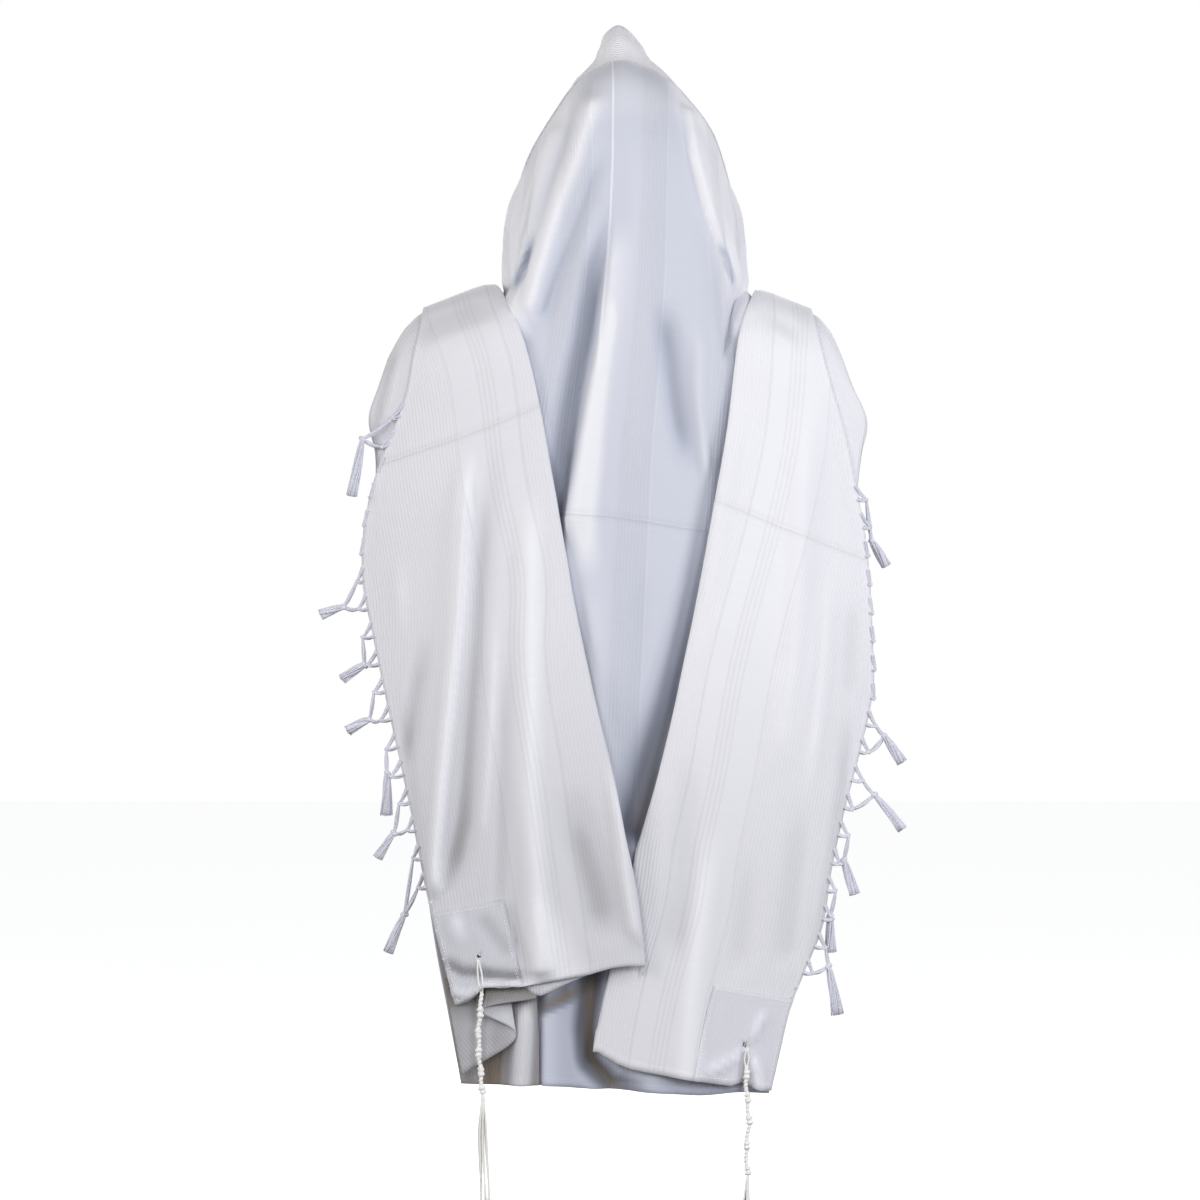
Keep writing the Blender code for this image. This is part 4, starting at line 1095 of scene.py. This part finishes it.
def end_stretch(side):
    """One thrown end, from the outer edge of the stretch underneath, round its inner fold to the
    fringed edge, with and without folds, distance behind the shoulder, share across the end and
    height of its folds."""
    under = strip(side, UNDER_COLUMNS, True)
    flap = strip(side, FLAP_COLUMNS, False)
    fold = (under[:, :1] + flap[:, :1]) / 2
    fold[[0, -1], :, 2] = flap[[0, -1], :1, 2] + 0.002
    fold[..., 0] -= side * FOLD_RISE / 2
    points = np.concatenate([under[:, ::-1], fold, flap], axis=1)
    share = np.concatenate([-UNDER_COLUMNS[::-1], [-0.001], FLAP_COLUMNS])
    more = np.broadcast_arrays(FLAP_ROWS[side][:, :1], share)
    hidden = np.arange(points.shape[1] - 1) < len(UNDER_COLUMNS) - 2
    packed = refined(np.concatenate([points, np.stack(more, axis=-1)], axis=-1), points, ROW_STEP,
                     np.where(hidden, COARSE_STEP, GRID_STEP))
    points, distance, share = packed[..., :3], packed[..., 3], packed[..., 4]
    for table, held in ((FOLD_SHIFT, 1 - np.abs(share) / 0.5), (UNDER_SHIFT, (-share - 0.4) / 0.6)):
        shift = along(table[side], points[..., 2]) * (distance > 0)
        points[..., 0] += shift * smooth_step(held)
    reach = np.where(share < -0.0005, 0.16, 0.05)
    near_hem = smooth_step(1 - (distance.max() - distance) / reach)
    points[..., 2] += along(HEM_RISES[side], share) * near_hem
    x, z = points[..., 0], points[..., 2]
    height = np.where(
        distance > 0, fold_field(x, z, BACK_FOLDS[side]) * smooth_step((distance - 0.02) / 0.08),
        fold_field(x, z, FRONT_FOLDS[side]) * smooth_step((-0.02 - distance) / 0.08),
    )
    height = height * smooth_step((share + 0.55) / 0.5)
    turn = np.clip(np.abs(distance) / 0.14, 0.0, 1.0) * math.pi / 2
    away = np.stack([np.zeros(turn.shape), -np.sign(distance) * np.sin(turn), np.cos(turn)],
                    axis=-1)
    sunk = np.clip(-height - TROUGH_FREE, 0.0, None)
    shown = height + sunk - TROUGH_LEFT * (1 - np.exp(-sunk / TROUGH_LEFT))
    return points + away * shown[..., None], points, distance, share, height


def end_places(side, points, distance, share):
    """Places across from the four-line stripe, up from the back hem and in from the fringed
    edge."""
    across = arc_lengths(points, 1)
    table = STRIPE_PLACE[side]
    stripe = hermite(table[:, 1], table[:, 0], distance[:, 0].clip(table[0, 0], table[-1, 0]))
    at_stripe = [np.interp(*row) for row in zip(stripe, share, across, strict=True)]
    _down, up = from_hems(points)
    behind = distance[:, 0] > 0.10
    first = int(np.argmax(share[0] >= 0))
    shift = crease_shift(points[behind], up[behind], END_CREASE[side])
    shift[:first] = shift[first]
    return across - np.array(at_stripe)[:, None], up + shift, across[:, -1:] - across


ends = {}
for side, side_name in SIDES:
    points, smooth, distance, share, height = end_stretch(side)
    across, up, edge = end_places(side, smooth, distance, share)
    x, z = points[..., 0], points[..., 2]
    # Painted shade: the left end darker than the right and both darker down the back, troughs
    # darker and ridges lighter by fold height, and painted shade and light from the tables above
    ground = END_WHITE_SHARE[side] + END_BACK * smooth_step((-0.55 - z) / 0.45)
    sunk = END_EASE * np.clip(-height - 0.006, 0.0, None) - END_TONE * height
    under_painted_shade = UNDER_LEFT_PAINTED_SHADE if side < 0 else ()
    pressed_and_painted = np.where(share > 0, fold_field(x, z, END_PAINTED_SHADE_AND_LIGHT[side]), fold_field(x, z, under_painted_shade))
    sunk += pressed_and_painted * (distance > 0)
    piece = cloth_piece(
        f"thrown_end_{side_name}", points, across, up, ends_wool,
        [f"flap_{side_name}", f"under_{side_name}"], holes=[EYELETS[side]],
        layers=np.clip(ground - sunk, -1.0, 1.0), edge=edge, hem=np.minimum(*from_hems(points)),
    )
    ends[side] = (piece, points, across, up, share, distance, height)

# ---------------- pleat and turned hem, left

PLEAT_HANGS = 0.0105  # its hem hangs this much lower than the part's
PLEAT_DEEPEST = 0.0035  # its troughs stop at the layer beneath

pleat = pleat_points()
pleat = refined(pleat, pleat, GRID_STEP, GRID_STEP * 0.8)
pleat[..., 2] -= PLEAT_HANGS * smooth_step(1 - (pleat[..., 2] - pleat[-1:, :, 2]) / 0.09)
height = fold_field(pleat[..., 0], pleat[..., 2], PLEAT_FOLDS)
pleat[..., 1] -= np.clip(height, -PLEAT_DEEPEST, None)
_down, up = from_hems(pleat)
# Painted light on its front roll and painted shade in its troughs
layers = 0.6 * smooth_step(height / 0.01) - smooth_step(-height / 0.007)
pleat_piece = cloth_piece(
    "back_pleat", pleat, arc_lengths(pleat, 1) + 0.05, up, ends_wool, ["back_pleat_left"],
    layers=layers, edge=1.0, hem=up,
)

falls = np.array([0.0, 0.3, 0.65, 1.0])[:, None, None]
zigzag = FOLD_TOPS * (1 - falls) + FOLD_TIPS * falls
zigzag = refined(zigzag, zigzag, GRID_STEP, GRID_STEP * 0.7)
down, up = from_hems(zigzag)
across = arc_lengths(zigzag, 1)
# Painted shade near its top, under the end's corner, and on its last turn
layers = 0.7 * smooth_step((down - 0.004) / 0.05) - 0.15
layers -= 0.3 * smooth_step((across / across[:, -1:] - 0.5) / 0.2)
zigzag_piece = cloth_piece(
    "turned_hem_left", zigzag, across + 0.06, up, ends_wool, ["under_left"],
    layers=layers, edge=1.0, hem=up,
)

# ---------------- neckband

BAND_COLUMNS = 7  # columns of the hood that the neckband covers on each side of its crease
BAND_ROWS = 4  # rows of the hood that it covers
PIPING_RADIUS = 0.0012


def nearest_line(guide, step, number):
    """Number, among the finer lines of a grid, of its coarse line 'number'."""
    places = line_places(guide)
    return int(np.argmin(np.abs(stations(places, step) - places[number])))


crosswise = middle_base.swapaxes(0, 1)
first, last = (
    nearest_line(crosswise, MIDDLE_STEPS[1], len(crosswise) // 2 + way * BAND_COLUMNS)
    for way in (-1, 1)
)
covered = (slice(nearest_line(middle_base, MIDDLE_STEPS[0], BAND_ROWS - 1) + 1),
           slice(first, last + 1))
outward = normals(middle)[covered]
band = middle[covered] + outward * (CLOTH + SEAM_GAP)
_down, up = from_hems(band)
across = middle_across[covered]
chevron = np.abs(across) * 0.25 * bump(across / 0.12)  # its lines rise to the middle
neckband = cloth_piece("neckband", band, across, up + chevron, neckband_satin, ["atarah"],
                       "white_satin")
piping_path = middle[covered][-1] + outward[-1] * (CLOTH * 1.5 + SEAM_GAP)
piping = twine_piece("neckband_edge", [tube_mesh(piping_path, PIPING_RADIUS, 8)], corner_cotton,
                     "atarah")

# ---------------- corner squares and eyelets

SQUARE_COLUMN = {-1: 0.62, 1: 0.54}  # share across an end at which its corner squares begin
SQUARE_REACH = {-1: 0.113, 1: 0.110}  # and how far they reach from the hem
SQUARE_CLOTH = 0.0008
EYELET = (0.0034, 0.0042)  # half width and half height of its stitched ring
SQUARE_SHADE = {(-1, "back"): 1.9, (1, "back"): 1.1, (-1, "front"): 0.5, (1, "front"): 0.5}  # painted shade on each corner square
STITCH_PITCH, STITCH_LENGTH, STITCH_RADIUS = 0.0042, 0.0032, 0.00043


def stitches(path):
    """Short stitches along a path: a four-sided spindle every pitch."""
    lengths = arc_lengths(path)
    starts = np.arange(STITCH_PITCH / 2, lengths[-1] - STITCH_LENGTH, STITCH_PITCH)
    reach = STITCH_LENGTH * np.array([0.0, 0.25, 0.75, 1.0])
    radii = STITCH_RADIUS * np.array([0.3, 1.0, 1.0, 0.3])
    return [tube_mesh(at_places(start + reach, lengths, path), radii, 4) for start in starts]


corner_pieces = {-1: [], 1: []}
for side, side_name in SIDES:
    _piece, points, across, up, share, _distance, height = ends[side]
    lifted = points + normals(points) * side * (CLOTH + SEAM_GAP)
    first_column = int(np.argmax(share[0] > SQUARE_COLUMN[side]))
    to_front, to_back = from_hems(points)
    for end_name, reach in (("back", to_back), ("front", to_front)):
        rows = np.nonzero(reach[:, -1] <= SQUARE_REACH[side])[0]
        part = (slice(rows[0], rows[-1] + 1), slice(first_column, None))
        square = lifted[part]
        corner, node = f"{end_name}_{side_name}", f"patch_{end_name}_{side_name}"
        holes = [EYELETS[side]] if end_name == "back" else []
        # Painted shade on each square, darker in its troughs and lighter on its ridges
        thin = SQUARE_SHADE[side, end_name] + np.clip(-320 * height[part], -1.2, 3.5)
        piece = cloth_piece(f"corner_square_{corner}", square, across[part], up[part],
                            corner_cotton, [node], "white_satin", SQUARE_CLOTH, holes, thin=thin)
        top = square + normals(square) * side * 0.0006
        border = [top[1, 1:-1], top[-2, 1:-1], top[1:-1, 1], top[1:-1, -2]]
        for hole in holes:
            near = np.linalg.norm(top - hole, axis=-1)
            place = np.unravel_index(near.argmin(), near.shape)
            centre = np.array([hole[0], top[place][1], hole[2]])
            turn = np.linspace(0.0, 2 * math.pi, 49)[:, None]
            ring = np.cos(turn) * [EYELET[0], 0.0, 0.0] + np.sin(turn) * [0.0, 0.0, EYELET[1]]
            border += [centre + ring, centre + ring * 0.8]
        sewn = twine_piece(f"corner_stitches_{corner}", sum(map(stitches, border), []),
                           tassel_yarn, node)
        corner_pieces[side] += [piece, sewn]

# ---------------- netted fringes

FRINGE_PITCH = 0.065  # from one tassel to the next
YARN_RADIUS = 0.00095
NET_YARNS, TASSEL_YARNS = 5, 18  # in a bundle of the net, and in a tassel
FIRST_KNOT, SECOND_KNOT = 0.0024, 0.0039  # sizes
FRINGE_SQUARE = 0.6  # this far behind the shoulder the fringe nears the corner square
# How far the first knots lie out from the edge, and then down from it, where the fringe hangs
# free and where it is tucked in high up. Beside a corner square they are turned back under the
# cloth, and the second number leads inward
FREE_PLACE, HIGH_PLACE, SQUARE_PLACE = (0.011, 0.007), (0.002, 0.009), (-0.006, 0.0038)
SECOND_PLACE = (0.013, 0.012)  # the second knot out from the first ones, and down from them
LEVEL_BELOW = 0.022  # the second knot usually hangs this far below the edge,
LEVEL_NEAR = 0.040  # and a known one is taken where it is nearer than this to that level
# Stretches of each fringe that are tucked in, by distance behind the top of the shoulder
TUCKED = {
    -1: np.array([(-140, 170), (235, 355), (740, 2000)]) / MILLIMETRES,
    1: np.array([(-140, 235), (325, 500), (840, 2000)]) / MILLIMETRES,
}
# Second knots of the fringes behind, and the ends of their tassels: x, z, x, z
SECOND_KNOTS = {
    -1: np.array([(-2946, -4540, -3073, -5163), (-3177, -6489, -3442, -6546),
        (-2923, -7158, -3188, -7284), (-2865, -7792, -3119, -7884), (-2646, -8403, -2658, -8853),
        (-2565, -9095, -2750, -9348), (-2450, -10040, -2635, -10444)]) / TENTHS,
    1: np.array([(2970, -5716, 3154, -5970), (3119, -7988, 3315, -8253), (2993, -8668, 3315, -9026),
        (2635, -9418, 2750, -9775), (2474, -10063, 2485, -10444),
        (2451, -10640, 2554, -11159)]) / TENTHS,
}


def bundle(path, widths, count, radius=YARN_RADIUS):
    """Loose yarns side by side along a path: each keeps its own place in the bundle's round
    section, scaled by the widths, and turns a little way round it. One thick yarn fills the
    middle."""
    side, other = across_path(path)
    share = np.linspace(0.0, 1.0, len(path))
    yarns = [tube_mesh(path, widths * 0.72, 6)]
    for number in range(count):
        angle = 2.4 * number + draws.uniform(-0.4, 0.4) + share * draws.uniform(0.5, 1.4)
        out = widths * math.sqrt((number + 0.5) / count) * draws.uniform(0.85, 1.1)
        yarn_path = path + side * (np.cos(angle) * out)[:, None]
        yarn_path += other * (np.sin(angle) * out * 0.8)[:, None]
        yarns.append(tube_mesh(yarn_path, radius, 4))
    return yarns


def sagging(start, end, sag):
    """A path from start to end that hangs through by 'sag' in its middle."""
    t = np.linspace(0.0, 1.0, 8)[:, None]
    return start + (end - start) * t + DOWN * sag * 4 * t * (1 - t)


def knot(centre, direction, size):
    """A small hard knot: two short swollen turns side by side across 'direction'."""
    direction = direction / np.linalg.norm(direction)
    t = np.linspace(-1.0, 1.0, 7)
    radii = size * np.sqrt(np.clip(1.04 - t**2, 0.03, 1.0))
    slant = np.cross(direction, draws.uniform(-1.0, 1.0, 3)) * size * 0.35
    return [
        tube_mesh(centre + offset + direction * t[:, None] * size * 0.8, radii * grown, 7)
        for offset, grown in ((slant, 1.0), (-slant, 0.85))
    ]


def second_knot(side, firsts, away, reach, level, behind):
    """Where the second knot below two first ones hangs, and the end of its tassel if known."""
    lower = min(firsts, key=lambda place: place[2])
    out, down = SECOND_PLACE
    second = (firsts[0] + firsts[1] + 2 * lower) / 4 + away * out * reach + DOWN * down
    second += draws.uniform(-0.003, 0.003, 3)
    known = min(SECOND_KNOTS[side], key=lambda row: abs(level - row[1]))
    if not behind or abs(level - known[1]) >= LEVEL_NEAR:
        return second, None
    second[0], second[2] = known[:2]
    return second, np.array([known[2], second[1] + draws.uniform(-0.01, 0.01), known[3]])


def fringe_tassel(start, away, high_up, tip):
    """Loose yarns from a second knot to the known end of their tassel. Where none is known they
    hang and lean out, more so high up."""
    share = np.linspace(0.0, 1.0, 8)
    lean = draws.uniform(0.45, 1.3) if high_up else draws.uniform(0.1, 0.6)
    direction = away * lean + DOWN + draws.uniform(-0.15, 0.15, 3)
    direction /= np.linalg.norm(direction)
    size = draws.uniform(0.030, 0.042)
    if tip is not None:
        size = np.linalg.norm(tip - start)
        direction = (tip - start) / size
    stem = start + direction * size * share[:, None] + DOWN * 0.004 * share[:, None] ** 2
    spread = 0.0020 + 0.0062 * np.sqrt(share) * draws.uniform(0.8, 1.15)
    return bundle(stem, spread, TASSEL_YARNS, 0.00110 * np.linspace(1.0, 0.70, 8))


def fringe_tubes(side, points, distance):
    """A netted fringe along the last column of an end: in each unit four bundles run from the
    edge to two first knots, two from those to a second knot, and from it a tassel hangs. Over
    the shoulder it is tucked in under the end, whose edge lies on the stretch beneath."""
    edge = points[:, -1]
    lengths = arc_lengths(edge)
    outward = edge - points[:, -3]
    outward /= np.linalg.norm(outward, axis=1, keepdims=True)
    inward = -(normals(points) * side)[:, -1]
    units = int(round(lengths[-1] / FRINGE_PITCH))
    pitch = lengths[-1] / units
    share = np.linspace(0.0, 1.0, 8)
    taper = 0.0032 - 0.0018 * share
    waist = 0.0011 + 0.0017 * np.sin(math.pi * share)
    tubes = []
    for unit in range(units):
        centre = (unit + 0.5) * pitch
        reach = draws.uniform(0.75, 1.15)
        away = at_places(centre, lengths, outward)
        away /= np.linalg.norm(away)
        from_top = np.interp(centre, lengths, distance[:, -1])
        if TUCKED[side][0, 0] < from_top < TUCKED[side][0, 1]:  # over the shoulder
            continue
        tucked = any(low < from_top < high for low, high in TUCKED[side])
        high_up = from_top < FRINGE_SQUARE
        if tucked and not high_up:
            out, fall = SQUARE_PLACE
            offset = away * out + at_places(centre, lengths, inward) * fall
        else:
            out, fall = HIGH_PLACE if tucked else FREE_PLACE
            offset = away * out * reach + DOWN * fall
        firsts = []
        for place in (centre - pitch / 4, centre + pitch / 4):
            first = at_places(place, lengths, edge) + offset
            first += draws.uniform(-0.0020, 0.0020, 3) * (0.3 if tucked else 1.0)
            firsts.append(first)
            for quarter in (-0.12, 0.12):
                root = np.clip(place + quarter * pitch, 0, lengths[-1])
                root = at_places(root, lengths, edge) - away * 0.0015
                tubes += bundle(sagging(root, first, 0.0015), taper, NET_YARNS)
            if not tucked or high_up:
                tubes += knot(first, away + DOWN * 0.5, FIRST_KNOT)
        if tucked:
            continue
        level = at_places(centre, lengths, edge)[2] - LEVEL_BELOW
        second, tip = second_knot(side, firsts, away, reach, level, from_top > 0)
        for first in firsts:
            tubes += bundle(sagging(first, second, 0.002), waist, NET_YARNS)
        tubes += knot(second, away + DOWN * 1.2, SECOND_KNOT)
        tubes += fringe_tassel(second, away, high_up, tip)
    return tubes


for side, side_name in SIDES:
    _piece, points, *_places, distance, _height = ends[side]
    twine_piece(f"netted_fringe_{side_name}", fringe_tubes(side, points, distance),
                                fringe_yarn, f"fringe_{side_name}")

# ---------------- floor and light

FLOOR = -1.60  # height of the floor that the garment hangs above
FLOOR_HALF = 14.0
AIM = (0.0, 0.0, -0.65)  # the lights point at the middle of the garment
FILL = (0.18, 0.184, 0.192, 1.0)

floor_material = bpy.data.materials.new("pale_floor")
floor_material.use_nodes = True
floor_shader = floor_material.node_tree.nodes["Principled BSDF"]
for key, value in (("Base Color", linear("f4f4f4")), ("Roughness", 0.9),
                   ("Emission Color", linear("ffffff")), ("Emission Strength", 0.80)):
    floor_shader.inputs[key].default_value = value
corners = ((-1, -1), (1, -1), (1, 1), (-1, 1))
corners = np.array([(x * FLOOR_HALF, y * FLOOR_HALF, FLOOR) for x, y in corners])
floor = new_piece("floor", corners, [[0, 1, 2, 3]], floor_material)
floor.visible_diffuse = False

world = bpy.data.worlds.new("studio")
bpy.context.scene.world = world
world.use_nodes = True
camera_ray = add_node(world.node_tree, "LightPath")["Is Camera Ray"]
fill = add_node(world.node_tree, "Mix", {"Factor": camera_ray, 6: FILL, 7: (1.0, 1.0, 1.0, 1.0)},
                data_type="RGBA")[2]
world.node_tree.links.new(fill, world.node_tree.nodes["Background"].inputs["Color"])

LIGHTS = (
    # name, place, size across and up, power, colour
    ("side_box_right", (2.7, -1.7, 0.0), (1.3, 1.5), 42.0, "fafbff"),
    ("side_box_left", (-2.7, -1.7, 0.0), (1.3, 1.5), 35.0, "fffefb"),
    ("front_box_right", (1.3, -3.5, 0.3), (1.0, 1.2), 37.0, "fafbff"),
    ("front_box_left", (-1.1, -3.5, 0.3), (1.0, 1.2), 30.0, "fffefb"),
    ("far_box_right", (1.9, 3.2, 0.4), (1.4, 1.4), 56.0, "ffffff"),
    ("far_box_left", (-2.3, 2.8, 0.2), (1.4, 1.4), 40.0, "ffffff"),
)
for name, place, size, power, colour in LIGHTS:
    lamp = bpy.data.lights.new(name, "AREA")
    lamp.shape = "RECTANGLE"
    lamp.size, lamp.size_y = size
    lamp.energy = power
    lamp.color = linear(colour)[:3]
    light = bpy.data.objects.new(name, lamp)
    light.location = place
    light.rotation_euler = (Vector(AIM) - Vector(place)).to_track_quat("-Z", "Y").to_euler()
    bpy.context.scene.collection.objects.link(light)

bpy.context.scene.view_settings.view_transform = "Standard"
